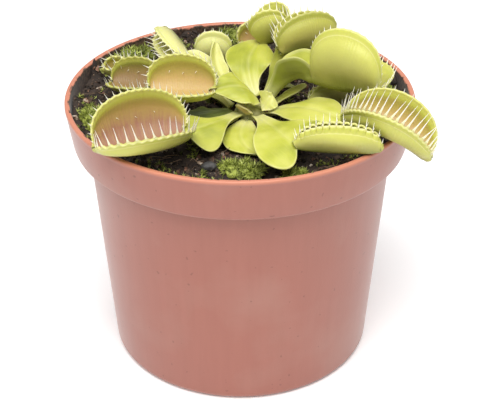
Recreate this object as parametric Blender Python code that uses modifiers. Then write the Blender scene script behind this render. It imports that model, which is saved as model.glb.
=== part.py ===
"""Potted Venus flytrap: a plastic nursery pot, potting soil and a rosette of leaves.

Blender 4.5, metres, +Z up. The origin is the centre of the pot's flat foot.
The tables below are in millimetres and degrees, and MM turns them to metres.
Each leaf is one solid, a winged stalk (the blade) that runs on into a two-lobed trap.
"""

import math
from dataclasses import dataclass

import bmesh
import bpy
import numpy as np

MM = 0.001
OBJECT_NAME = "potted_venus_flytrap"
CLEARANCE = 0.3

# Pot: a tapered cup with a wide collar.
POT_HEIGHT = 72.5
RIM_RADIUS = 45.0
COLLAR_HEIGHT = 11.5
COLLAR_FOOT_RADIUS = 43.3
BODY_TOP_RADIUS = 39.6
BASE_RADIUS = 34.8
BASE_CORNER = 2.0
WALL = 1.4
RIM_ROUND = 0.35
POT_STEPS = 48
CORNER_POINTS = 4
DRAIN_HOLES = 8
DRAIN_RADIUS = 3.0
DRAIN_CIRCLE = 25.0
DRAIN_TURN = 13.5
DRAIN_STEPS = 16

# Potting soil: it fills the pot to a few millimetres below the rim.
SOIL_DEPTH_BELOW_RIM = 5.2
SOIL_MOUND = 0.8
SOIL_LUMP = 0.25
LUMP_LONG = (0.23, 0.31)
LUMP_SHORT = (0.42, 0.38)
SOIL_RING = 3.5
SOIL_BANK = 1.6
BANK_TOWARDS = (-0.5, 0.87)

# Crown: the short white bulb that every leaf grows from.
CROWN_CENTRE = (2.5, -3.0)
CROWN_RADIUS = 4.3
CROWN_TOP = 71.4
CROWN_FOOT = 62.5
CROWN_STEPS = 24
CROWN_POINTS = 9

# Leaves.
LEAF_THICKNESS = 0.8
NECK_WIDTH = 1.6
BLADE_ROWS = 8
TRAP_ROWS = 8
LEAF_COLUMNS = 6
BLADE_ROUNDNESS = 0.85
RIPPLE_WAVES = 2.2
TIP_WIDTH = 0.9
YOUNG_GREEN = (0.62, 0.70, 0.20)
OLD_GREEN = (0.22, 0.32, 0.03)

# Moss and stones on the soil.
CLUMP_SEAT = 0.45
PLASTIC_RED = (0.46, 0.17, 0.11)
PEAT_BROWN = (0.020, 0.013, 0.010)
BULB_CREAM = (0.45, 0.42, 0.18)
MOSS_GREEN = (0.08, 0.13, 0.03)
STONE_GREY = (0.30, 0.28, 0.25)


@dataclass(frozen=True)
class Leaf:
    """One leaf, in millimetres and degrees.

    base, bend and joint are points on the blade's midrib, at its two ends and halfway.
    tip is the far end of the trap's midrib, or None on a leaf with no trap.
    width is the blade's, widest at the share `peak` of its length, and `foot` at the base.
    roll turns the blade about its midrib, and face turns the trap's mouth about the trap's
    midrib from straight up: both are positive towards the right, looking outwards.
    cup is how far the blade's edges rise, as a share of the half width, and shoulder is
    how far one wing runs on past the joint, the right wing when it is below 0.
    depth is how far a lobe stands out from the midrib, spread is the angle between each
    lobe and the middle of the mouth, bulge is the lobe's outward bow as a share of its
    depth, and fan is how far its ends reach past the midrib's. sag is how far the trap's
    midrib bows away from the mouth. age is 0 on a pale young leaf and 1 on a dark old one.
    """

    name: str
    base: tuple
    bend: tuple
    joint: tuple
    tip: tuple = None
    width: float = 5.0
    peak: float = 0.62
    foot: float = 2.2
    roll: float = 0.0
    cup: float = -0.15
    ripple: float = 0.25
    shoulder: float = 0.0
    depth: float = 6.0
    face: float = 0.0
    spread: float = 20.0
    bulge: float = 0.24
    sag: float = 0.6
    fan: float = 0.3
    age: float = 0.5


LEAVES = (
    Leaf("leaf_front_left", (-0.2, -6.8, 70.6), (-7.5, -19.0, 74.0), (-13.0, -24.8, 75.0),
         (-33.5, -34.0, 75.5), width=15, peak=0.74, foot=3.0, roll=-25, cup=-0.2,
         depth=12, face=-21, spread=32, bulge=0.27, sag=0.5, age=0.55),
    Leaf("leaf_mid_left", (3.9, -2.6, 72.6), (0.4, -5.6, 77.6), (-6.5, -9.0, 78.0),
         (-22.5, -6.0, 77.0), width=11.5, peak=0.45, foot=4.4, roll=-40, cup=-0.2,
         depth=9.2, face=-31, spread=33, age=0.5),
    Leaf("leaf_small_left", (-2.4, -2.7, 69.9), (-10.0, -1.6, 75.3), (-20.5, 0.0, 75.0),
         (-33.0, 4.5, 73.5), roll=-20, depth=7, face=-28, spread=36, age=0.6),
    Leaf("leaf_far_left", (-2.1, -0.4, 69.5), (-17.5, 9.2, 73.0), (-29.5, 11.5, 72.5),
         (-35.5, 10.5, 74.5), width=4, roll=-20, depth=4.5, face=-35, age=0.5),
    Leaf("leaf_back_narrow", (-1.1, 2.1, 70.1), (-9.0, 9.8, 75.8), (-14.7, 12.3, 77.0),
         (-20.5, 24.5, 78.8), roll=-60, depth=5.6, face=-80, spread=12, age=0.35),
    Leaf("leaf_back_pale", (1.4, 0.3, 70.9), (-1.6, 9.3, 73.0), (-3.9, 16.8, 73.9),
         (-11.4, 16.7, 75.1), roll=10, depth=8.5, face=25, age=0.25),
    Leaf("leaf_back_small", (2.5, 1.9, 69.5), (3.2, 12.0, 73.0), (0.2, 23.0, 75.4),
         (7.4, 25.0, 76.8), depth=6, face=34, spread=30, age=0.4),
    Leaf("leaf_back_tall", (4.1, 0.6, 71.4), (2.2, 8.4, 77.5), (5.5, 17.0, 79.5),
         (13.2, 15.6, 84.0), width=13.4, peak=0.66, foot=2.4, depth=9, face=-10, age=0.45),
    Leaf("leaf_back_closed", (6.0, -0.1, 70.8), (9.9, 5.5, 77.2), (10.5, 5.6, 82.0),
         (24.5, 10.0, 84.0), width=6, depth=9, face=-22, spread=14, age=0.75),
    Leaf("leaf_right_large", (6.6, -2.4, 71.2), (12.6, -2.2, 79.0), (18.8, -6.4, 80.0),
         (33.5, -15.0, 81.0), width=8.5, peak=0.7, foot=2.6, roll=-15, cup=1.2,
         depth=14.5, face=-45, spread=32, age=0.55),
    Leaf("leaf_right_open", (7.1, -5.4, 70.2), (16.0, -13.6, 75.8), (25.4, -20.2, 75.5),
         (45.4, -28.2, 69.8), width=13, foot=3.0, roll=15, depth=10, face=6, spread=27,
         bulge=0.26, sag=-1.9, age=0.45),
    Leaf("leaf_front_right", (4.3, -7.6, 70.3), (9.2, -24.4, 75.2), (13.5, -32.2, 75.4),
         (33.2, -31.6, 74.1), width=18.5, peak=0.72, foot=3.0, roll=17, cup=0.0, shoulder=-1.3,
         depth=6.0, face=0, spread=2, bulge=0.26, fan=0.1, age=0.4),
    Leaf("leaf_front_low", (1.8, -8.4, 69.4), (0.4, -18.6, 70.2), (4.0, -25.4, 69.4),
         width=10, peak=0.5, age=0.5),
    Leaf("leaf_small_under", (-1.2, -7.2, 69.5), (-5.8, -14.8, 70.2), (-7.5, -21.2, 69.6),
         width=3.5, roll=-10, age=0.65),
    Leaf("leaf_shaded_left", (-2.2, -4.9, 70.4), (-8.0, -8.8, 71.5), (-14.0, -11.5, 71.4),
         width=7.4, peak=0.6, roll=-10, age=0.9),
    Leaf("leaf_young_round", (5.2, -7.3, 72.1), (6.6, -7.2, 74.2), (7.9, -6.4, 75.6),
         width=6.8, peak=0.55, roll=55, foot=2.2, age=0.3),
    Leaf("leaf_pale_spear", (0.5, 0.1, 71.8), (-5.2, 6.3, 75.7), (-6.4, 12.6, 80.8),
         width=4.0, peak=0.6, foot=1.0, roll=10, cup=0.5, age=0.2),
    Leaf("leaf_bud", (2.9, -7.6, 71.5), (1.4, -8.6, 73.2), (-0.5, -8.8, 74.4),
         width=3, peak=0.35, foot=2.0, age=0.1),
    Leaf("leaf_narrow_back", (6.4, 0.4, 69.8), (10.0, 8.0, 71.0), (15.0, 7.5, 70.0),
         width=3, roll=20, age=0.8),
    Leaf("leaf_rolled_right", (7.3, -1.9, 69.9), (12.5, 0.2, 72.6), (17.0, 3.0, 73.6),
         width=2.5, roll=20, age=0.6),
    Leaf("leaf_scalloped_right", (7.3, -4.0, 69.4), (14.0, -3.2, 70.1), (18.5, -2.7, 71.0),
         (27.0, 0.6, 70.8), width=3, roll=20, depth=5, face=-30, spread=12, age=0.85),
)


@dataclass(frozen=True)
class Clump:
    """Moss or a stone on the soil: its middle, its length and width, height and turn."""

    name: str
    x: float
    y: float
    length: float
    width: float
    height: float
    turn: float = 0.0


MOSS = (
    Clump("moss_front", 1.0, -32.4, 11.0, 6.5, 2.2, -15),
    Clump("moss_front_right", 13.4, -35.2, 8.0, 4.4, 1.6, 15),
    Clump("moss_left", -37.6, -6.0, 5.5, 10.0, 3.0, 10),
    Clump("moss_back_left", -29.6, 26.0, 6.4, 13.0, 5.0, -41),
    Clump("moss_back", -3.0, 39.4, 12.0, 3.6, 4.4, 4),
    Clump("moss_right", 38.0, 6.0, 4.5, 9.0, 2.2, 8),
)
STONES = (
    Clump("stone_grey", -7.2, -30.2, 4.0, 3.0, 2.0, 20),
    Clump("stone_flat", -17.0, -36.2, 3.4, 2.6, 1.2, -30),
    Clump("pebble_pale", 20.6, -33.6, 2.8, 2.4, 1.8, 40),
)


def unit(vector):
    """The vector at length 1."""
    return vector / np.linalg.norm(vector)


def turned(vector, axis, degrees):
    """The vector turned about a unit axis."""
    angle = math.radians(degrees)
    along = axis * np.dot(axis, vector) * (1 - math.cos(angle))
    return vector * math.cos(angle) + np.cross(axis, vector) * math.sin(angle) + along


def blade_frame(leaf, share):
    """A point on the blade's midrib, with its direction, its side and its upper face."""
    base, bend, joint = (np.array(point) for point in (leaf.base, leaf.bend, leaf.joint))
    control = 2 * bend - (base + joint) / 2
    point = (1 - share) ** 2 * base + 2 * share * (1 - share) * control + share**2 * joint
    ahead = unit((1 - share) * (control - base) + share * (joint - control))
    run = (joint - base) * (1, 1, 0)
    side = np.cross((0, 0, 1), unit(run))
    side = unit(side - ahead * np.dot(ahead, side))
    up = np.cross(ahead, side)
    roll = leaf.roll * share
    return point, turned(side, ahead, roll), turned(up, ahead, roll)


def blade_half_width(leaf, share):
    """Half the blade's width: a foot, a rounded wing and a narrow neck."""
    neck = NECK_WIDTH / 2 if leaf.tip else TIP_WIDTH / 2
    foot = max(neck, leaf.foot / 2 * (1 - share) ** 2)
    power = math.log(0.5) / math.log(leaf.peak)
    wing = math.sin(math.pi * share**power)
    return foot + (leaf.width / 2 - neck) * max(wing, 0) ** BLADE_ROUNDNESS


def blade_point(leaf, share, across):
    """A point on the blade's upper face; across runs from -1 to 1."""
    point, side, up = blade_frame(leaf, share)
    half = blade_half_width(leaf, share)
    wave = leaf.ripple * math.sin(2 * math.pi * RIPPLE_WAVES * share + 1)
    lift = leaf.cup * half * across**2 + wave * abs(across) ** 3 * min(1, half / 3)
    past = max(across * leaf.shoulder, 0) * abs(across) * half * share**3
    return point + side * half * across + up * lift + np.cross(side, up) * past


def trap_point(leaf, share, across):
    """A point on the trap's inner face; across runs from one lobe's margin to the other's."""
    joint, tip = np.array(leaf.joint), np.array(leaf.tip)
    ahead = unit(tip - joint)
    mouth = turned(unit((0, 0, 1) - ahead * ahead[2]), ahead, leaf.face)
    side = np.cross(mouth, ahead)
    turn = math.pi * share
    along = (1 - math.cos(turn)) / 2
    reach = max(leaf.depth * math.sin(turn), TIP_WIDTH / 2)
    hinge = joint + (tip - joint) * along - mouth * leaf.sag * 4 * along * (1 - along)
    out, left = abs(across), math.copysign(1, across)
    spread = math.radians(leaf.spread)
    chord = mouth * math.cos(spread) + side * left * math.sin(spread)
    bow = side * left * math.cos(spread) - mouth * math.sin(spread)
    lobe = chord * out + bow * 4 * leaf.bulge * out * (1 - out)
    return hinge + (lobe - ahead * leaf.fan * out * math.cos(turn)) * reach


def leaf_point(leaf, row, across):
    """A point on the leaf's upper or inner face, by row from the crown outwards."""
    if row > BLADE_ROWS:
        return trap_point(leaf, (row - BLADE_ROWS) / TRAP_ROWS, across)
    share = row / BLADE_ROWS
    if not leaf.tip:
        share = math.sin(share * math.pi / 2)
    return blade_point(leaf, share, across)


def clear_scene():
    """Remove everything that the startup file holds."""
    for obj in list(bpy.data.objects):
        bpy.data.objects.remove(obj, do_unlink=True)


def new_collection(name):
    """A collection under the scene's own."""
    collection = bpy.data.collections.new(name)
    bpy.context.scene.collection.children.link(collection)
    return collection


def material(name, colour, roughness):
    """A Principled BSDF with one linear RGB colour."""
    made = bpy.data.materials.new(name)
    made.use_nodes = True
    shader = made.node_tree.nodes["Principled BSDF"]
    shader.inputs["Base Color"].default_value = (*colour, 1)
    shader.inputs["Roughness"].default_value = roughness
    return made


def new_object(name, mesh, collection, finish=None):
    """An object that shows the mesh, in a collection."""
    obj = bpy.data.objects.new(name, mesh)
    collection.objects.link(obj)
    if finish:
        mesh.materials.append(finish)
    return obj


def turned_object(name, profile, steps, collection, finish=None, centre=(0, 0)):
    """A closed body turned about a vertical axis from (radius, height) points, in mm."""
    mesh = bpy.data.meshes.new(name)
    points = [(radius * MM, 0, height * MM) for radius, height in profile]
    edges = [(i, i + 1) for i in range(len(points) - 1)]
    mesh.from_pydata(points, edges, [])
    obj = new_object(name, mesh, collection, finish)
    obj.location = (centre[0] * MM, centre[1] * MM, 0)
    screw = obj.modifiers.new("turn", "SCREW")
    screw.steps = screw.render_steps = steps
    screw.use_merge_vertices = True
    screw.merge_threshold = 1e-5
    screw.use_smooth_shade = True
    return obj


def applied(obj):
    """The object with its modifiers made part of its mesh."""
    graph = bpy.context.evaluated_depsgraph_get()
    finished = bpy.data.meshes.new_from_object(obj.evaluated_get(graph))
    obj.modifiers.clear()
    obj.data = finished
    return obj


def cut(obj, cutter):
    """Take the cutter's shape out of the object."""
    boolean = obj.modifiers.new("cut_" + cutter.name, "BOOLEAN")
    boolean.operation = "DIFFERENCE"
    boolean.solver = "EXACT"
    boolean.object = cutter


def as_cutter(obj):
    """Keep an object out of the model: it only cuts."""
    obj.hide_render = True
    obj.display_type = "WIRE"
    return obj


def body_radius(height):
    """The pot body's outer radius at a height under the collar."""
    share = height / (POT_HEIGHT - COLLAR_HEIGHT)
    return BASE_RADIUS + (BODY_TOP_RADIUS - BASE_RADIUS) * share


def collar_radius(height):
    """The collar's outer radius at a height."""
    share = (POT_HEIGHT - height) / COLLAR_HEIGHT
    return RIM_RADIUS + (COLLAR_FOOT_RADIUS - RIM_RADIUS) * share


def build_pot(collection, cutters):
    """The turned cup, with a ring of drainage holes through its floor."""
    ledge = POT_HEIGHT - COLLAR_HEIGHT
    corner = [
        (
            body_radius(BASE_CORNER) - BASE_CORNER * (1 - math.cos(angle)),
            BASE_CORNER * (1 - math.sin(angle)),
        )
        for angle in np.linspace(0, math.pi / 2, CORNER_POINTS)
    ]
    profile = [
        (0, WALL),
        (body_radius(WALL) - WALL - BASE_CORNER, WALL),
        (body_radius(WALL + BASE_CORNER) - WALL, WALL + BASE_CORNER),
        (BODY_TOP_RADIUS - WALL, ledge + WALL),
        (collar_radius(ledge + WALL) - WALL, ledge + WALL),
        (RIM_RADIUS - WALL, POT_HEIGHT - RIM_ROUND),
        (RIM_RADIUS - WALL + RIM_ROUND, POT_HEIGHT),
        (RIM_RADIUS - RIM_ROUND, POT_HEIGHT),
        (RIM_RADIUS, POT_HEIGHT - RIM_ROUND),
        (COLLAR_FOOT_RADIUS, ledge),
        (BODY_TOP_RADIUS, ledge),
        *corner,
        (0, 0),
    ]
    plastic = material("moulded_terracotta_plastic", PLASTIC_RED, 0.45)
    pot = turned_object("pot", profile, POT_STEPS, collection, plastic)
    for index in range(DRAIN_HOLES):
        angle = math.radians(DRAIN_TURN + 360 * index / DRAIN_HOLES)
        bpy.ops.mesh.primitive_cylinder_add(
            vertices=DRAIN_STEPS,
            radius=DRAIN_RADIUS * MM,
            depth=4 * WALL * MM,
            location=(
                DRAIN_CIRCLE * MM * math.cos(angle),
                DRAIN_CIRCLE * MM * math.sin(angle),
                0,
            ),
        )
        hole = as_cutter(bpy.context.object)
        hole.name = f"drain_cutter_{index}"
        for owner in list(hole.users_collection):
            owner.objects.unlink(hole)
        cutters.objects.link(hole)
        cut(pot, hole)


def soil_height(x, y):
    """The soil's upper face at a place in the pot, in millimetres."""
    radius = math.hypot(x, y)
    edge = POT_HEIGHT - SOIL_DEPTH_BELOW_RIM
    mound = SOIL_MOUND * (1 - (radius / RIM_RADIUS) ** 2)
    lumps = math.sin(LUMP_SHORT[0] * x + 1) * math.cos(LUMP_SHORT[1] * y)
    lumps += math.sin(LUMP_LONG[0] * x - LUMP_LONG[1] * y)
    towards = max(x * BANK_TOWARDS[0] + y * BANK_TOWARDS[1], 0) / RIM_RADIUS
    return edge + mound + SOIL_LUMP * lumps + SOIL_BANK * towards**2


def build_soil(collection, crown_pit):
    """The filling, shaped to the pot's inside, with a lumpy top and a pit for the crown."""
    ledge = POT_HEIGHT - COLLAR_HEIGHT + WALL + CLEARANCE
    edge = POT_HEIGHT - SOIL_DEPTH_BELOW_RIM
    rim = collar_radius(edge) - WALL - CLEARANCE
    rings = int(rim / SOIL_RING)
    floor = WALL + CLEARANCE
    profile = [(rim * ring / rings, edge) for ring in range(rings + 1)]
    profile += [
        (collar_radius(ledge) - WALL - CLEARANCE, ledge),
        (BODY_TOP_RADIUS - WALL - CLEARANCE, ledge),
        (body_radius(floor + BASE_CORNER) - WALL - CLEARANCE, floor + BASE_CORNER),
        (body_radius(floor) - WALL - CLEARANCE - BASE_CORNER, floor),
        (0, floor),
    ]
    peat = material("peat_potting_mix", PEAT_BROWN, 0.95)
    soil = applied(turned_object("potting_soil", profile, POT_STEPS, collection, peat))
    for vertex in soil.data.vertices:
        x, y, z = vertex.co / MM
        if z > edge - CLEARANCE:
            vertex.co.z = soil_height(x, y) * MM
    cut(soil, crown_pit)


def crown_profile(grow):
    """The bulb's outline, grown by a clearance all round."""
    middle = (CROWN_TOP + CROWN_FOOT) / 2
    half = (CROWN_TOP - CROWN_FOOT) / 2 + grow
    angles = np.linspace(0, math.pi, CROWN_POINTS)
    radius = CROWN_RADIUS + grow
    return [(radius * math.sin(a), middle + half * math.cos(a)) for a in angles]


def build_crown(collection, cutters):
    """The bulb. It returns the cutter that makes room for it in the soil."""
    flesh = material("leaf_bulb", BULB_CREAM, 0.5)
    turned_object("crown", crown_profile(0), CROWN_STEPS, collection, flesh, CROWN_CENTRE)
    outline = crown_profile(CLEARANCE)
    pit = turned_object("crown_pit_cutter", outline, CROWN_STEPS, cutters, None, CROWN_CENTRE)
    return as_cutter(pit)


def build_leaf(leaf, collection, finish):
    """One leaf: a grid bent to the leaf's face, with the thickness on its lower side."""
    rows = BLADE_ROWS + (TRAP_ROWS if leaf.tip else 0)
    grid = bmesh.new()
    bmesh.ops.create_grid(grid, x_segments=LEAF_COLUMNS, y_segments=rows, size=1)
    for vertex in grid.verts:
        row = round((vertex.co.y + 1) / 2 * rows)
        vertex.co = leaf_point(leaf, row, -vertex.co.x) * MM
    mesh = bpy.data.meshes.new(leaf.name)
    grid.to_mesh(mesh)
    grid.free()
    mesh.shade_smooth()
    obj = new_object(leaf.name, mesh, collection, finish)
    solid = obj.modifiers.new("thickness", "SOLIDIFY")
    solid.thickness = LEAF_THICKNESS * MM
    solid.offset = -1


def build_clump(clump, collection, finish):
    """A domed body whose flat lower side follows the soil, a little above it."""
    ball = bmesh.new()
    bmesh.ops.create_icosphere(ball, subdivisions=2, radius=1)
    turn = math.radians(clump.turn)
    for vertex in ball.verts:
        along = vertex.co.x * clump.length / 2
        across = vertex.co.y * clump.width / 2
        x = clump.x + along * math.cos(turn) - across * math.sin(turn)
        y = clump.y + along * math.sin(turn) + across * math.cos(turn)
        z = soil_height(x, y) + CLUMP_SEAT + max(vertex.co.z, 0) * clump.height
        vertex.co = (x * MM, y * MM, z * MM)
    mesh = bpy.data.meshes.new(clump.name)
    ball.to_mesh(mesh)
    ball.free()
    mesh.shade_smooth()
    new_object(clump.name, mesh, collection, finish)


def leaf_green(leaf):
    """The leaf's own colour, between a pale young green and a dark old one."""
    colour = [young + (old - young) * leaf.age for young, old in zip(YOUNG_GREEN, OLD_GREEN)]
    return material(leaf.name + "_tissue", colour, 0.4)


def main():
    """Build the whole plant in its pot."""
    clear_scene()
    collection = new_collection(OBJECT_NAME)
    cutters = new_collection(OBJECT_NAME + "_cutters")
    build_pot(collection, cutters)
    pit = build_crown(collection, cutters)
    build_soil(collection, pit)
    for leaf in LEAVES:
        build_leaf(leaf, collection, leaf_green(leaf))
    for clump in MOSS:
        build_clump(clump, collection, material(clump.name + "_fronds", MOSS_GREEN, 0.9))
    for clump in STONES:
        build_clump(clump, collection, material(clump.name + "_mineral", STONE_GREY, 0.8))


if __name__ == "__main__":
    main()
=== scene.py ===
"""A potted Venus flytrap: every visible piece, dressed over its fixed CAD frame.

Sizes are in millimetres unless a name says otherwise. X points right, Y away from the front and
Z up, with the origin in the middle of the pot's foot.
"""

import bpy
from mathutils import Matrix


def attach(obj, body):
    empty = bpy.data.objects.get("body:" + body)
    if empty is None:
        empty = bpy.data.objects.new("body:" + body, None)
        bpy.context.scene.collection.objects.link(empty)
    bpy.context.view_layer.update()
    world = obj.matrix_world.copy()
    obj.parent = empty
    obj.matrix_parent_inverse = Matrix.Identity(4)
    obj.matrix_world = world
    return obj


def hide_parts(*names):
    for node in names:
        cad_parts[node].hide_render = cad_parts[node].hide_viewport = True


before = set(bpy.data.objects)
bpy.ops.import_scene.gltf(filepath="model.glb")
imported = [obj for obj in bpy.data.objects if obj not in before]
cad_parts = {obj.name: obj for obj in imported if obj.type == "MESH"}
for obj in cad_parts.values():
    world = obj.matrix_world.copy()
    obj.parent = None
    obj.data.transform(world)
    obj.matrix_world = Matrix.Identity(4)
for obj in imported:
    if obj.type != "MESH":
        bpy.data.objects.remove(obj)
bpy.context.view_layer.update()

import functools
import itertools
import logging
import math
from collections.abc import Callable
from dataclasses import dataclass
from enum import Enum

import bmesh
import bpy
import numpy as np
from mathutils import Euler, Vector

# A millimetre, in metres.
MM = 0.001
LOG = logging.getLogger("flytrap")
# Large odd numbers that mix the bits of a cell's place into a random number.
CELL_MIX = (374761393, 668265263, 1440662683)
SEED_MIX = 974634777
LAST_MIX = 1274126177


def srgb(code: str) -> tuple[float, float, float, float]:
    """Turns an sRGB colour into the linear one that shaders use.

    Args:
        code: The colour as six hex digits.

    Returns:
        Linear red, green and blue, and an alpha of 1.
    """
    parts = [int(code[start:start + 2], 16) / 255 for start in (0, 2, 4)]
    linear = [p / 12.92 if p <= 0.04045 else ((p + 0.055) / 1.055) ** 2.4 for p in parts]
    return (linear[0], linear[1], linear[2], 1.0)


def add(tree: bpy.types.NodeTree, kind: str, links: dict | None = None,
        stops: tuple = (), **settings) -> bpy.types.NodeSocket:
    """Adds a node with its settings and its links.

    Args:
        tree: The node tree.
        kind: The node's Blender name.
        links: Inputs, by name or number, with a value or another node's output.
        stops: The places and hex colours of a colour ramp.
        settings: The node's own properties.

    Returns:
        The node's first output that is in use.
    """
    made = tree.nodes.new(kind)
    for name, setting in settings.items():
        setattr(made, name, setting)
    for index, (place, code) in enumerate(stops):
        bar = made.color_ramp.elements
        stop = bar[0] if index == 0 else bar[-1] if index == len(stops) - 1 else bar.new(place)
        stop.position, stop.color = place, srgb(code)
    for name, source in (links or {}).items():
        if isinstance(source, bpy.types.NodeSocket):
            tree.links.new(source, made.inputs[name])
        else:
            made.inputs[name].default_value = source
    return next((out for out in made.outputs if out.enabled), None)


def unit(vectors: np.ndarray) -> np.ndarray:
    """Scales vectors to length one."""
    return vectors / np.maximum(np.linalg.norm(vectors, axis=-1, keepdims=True), 1e-9)


def turned(vectors: np.ndarray, axis: np.ndarray, degrees: np.ndarray | float) -> np.ndarray:
    """Turns vectors round an axis.

    Args:
        vectors: The vectors, in the last dimension.
        axis: Unit axis or axes.
        degrees: Angle or angles.

    Returns:
        The turned vectors.
    """
    angle = np.radians(np.asarray(degrees, float))[..., None]
    along = (vectors * axis).sum(-1, keepdims=True)
    return (vectors * np.cos(angle) + np.cross(axis, vectors) * np.sin(angle)
            + axis * along * (1 - np.cos(angle)))


def eased(values: np.ndarray, start: float, end: float) -> np.ndarray:
    """Rises smoothly from 0 at start to 1 at end."""
    share = np.clip((values - start) / (end - start), 0, 1)
    return share * share * (3 - 2 * share)


def lumps(points: np.ndarray, grain: float, seed: int = 0) -> np.ndarray:
    """Smooth random values over space.

    Args:
        points: Places, with x, y and z in the last dimension.
        grain: Size of one lump.
        seed: Which of the fields.

    Returns:
        A value from -1 to 1 for each place.
    """
    cell = np.asarray(points, float) / grain
    low = np.floor(cell).astype(np.int64)
    part = cell - low
    part = part * part * (3 - 2 * part)
    total = np.zeros(cell.shape[:-1])
    for corner in itertools.product((0, 1), repeat=3):
        mixed = ((low + corner) * CELL_MIX).sum(-1) + seed * SEED_MIX
        mixed = (mixed ^ (mixed >> 13)) * LAST_MIX
        mixed = (mixed ^ (mixed >> 16)) & 0xFFFF
        total += np.where(corner, part, 1 - part).prod(-1) * mixed
    return total / 32767.5 - 1


def mark(mesh: bpy.types.Mesh, name: str, values: np.ndarray) -> None:
    """Stores a number or a vector on each point of a mesh.

    Args:
        mesh: The mesh.
        name: The attribute's name.
        values: One number or one row of three for each point.
    """
    values = np.asarray(values, np.float32)
    kind, key = ("FLOAT", "value") if values.ndim == 1 else ("FLOAT_VECTOR", "vector")
    mesh.attributes.new(name, kind, "POINT").data.foreach_set(key, values.ravel())


def mesh_of(name: str, points: np.ndarray, faces: list, marks: dict | None = None) -> bpy.types.Mesh:
    """Makes a smooth mesh from points in millimetres.

    Args:
        name: The mesh's name.
        points: Its corners, one a row.
        faces: Lists of corner numbers, counted outwards.
        marks: Numbers or vectors stored on the corners, by attribute name.

    Returns:
        The mesh, in metres.
    """
    mesh = bpy.data.meshes.new(name)
    mesh.from_pydata((points * MM).tolist(), [], faces)
    mesh.shade_smooth()
    for label, values in (marks or {}).items():
        mark(mesh, label, values)
    return mesh


def quads(rows: int, columns: int, start: int = 0, flip: bool = False) -> list:
    """The faces of a grid of points kept row by row.

    Args:
        rows: Rows of points.
        columns: Points in a row.
        start: Number of the first point.
        flip: Whether the faces look the other way.

    Returns:
        One list of four point numbers for each face.
    """
    first = start + (np.arange(rows - 1)[:, None] * columns + np.arange(columns - 1)).ravel()
    made = np.stack([first, first + columns, first + columns + 1, first + 1], axis=1)
    return (made[:, ::-1] if flip else made).tolist()


def shown(mesh: bpy.types.Mesh, name: str) -> bpy.types.Object:
    """Puts a mesh into the scene as an object at the origin.

    Args:
        mesh: The mesh, with its place in it.
        name: The object's name.

    Returns:
        The object.
    """
    piece = bpy.data.objects.new(name, mesh)
    bpy.context.scene.collection.objects.link(piece)
    return piece


def kept(piece: bpy.types.Object, slot: str, *replaced: str) -> None:
    """Declares a finished piece to the frame.

    Args:
        piece: The piece, which has its final mesh.
        slot: Not used.
        replaced: The CAD nodes that it stands for.
    """
    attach(piece, "root")
    if replaced:
        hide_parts(*replaced)
    LOG.info("%s: %d faces", piece.name, len(piece.data.polygons))


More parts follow.
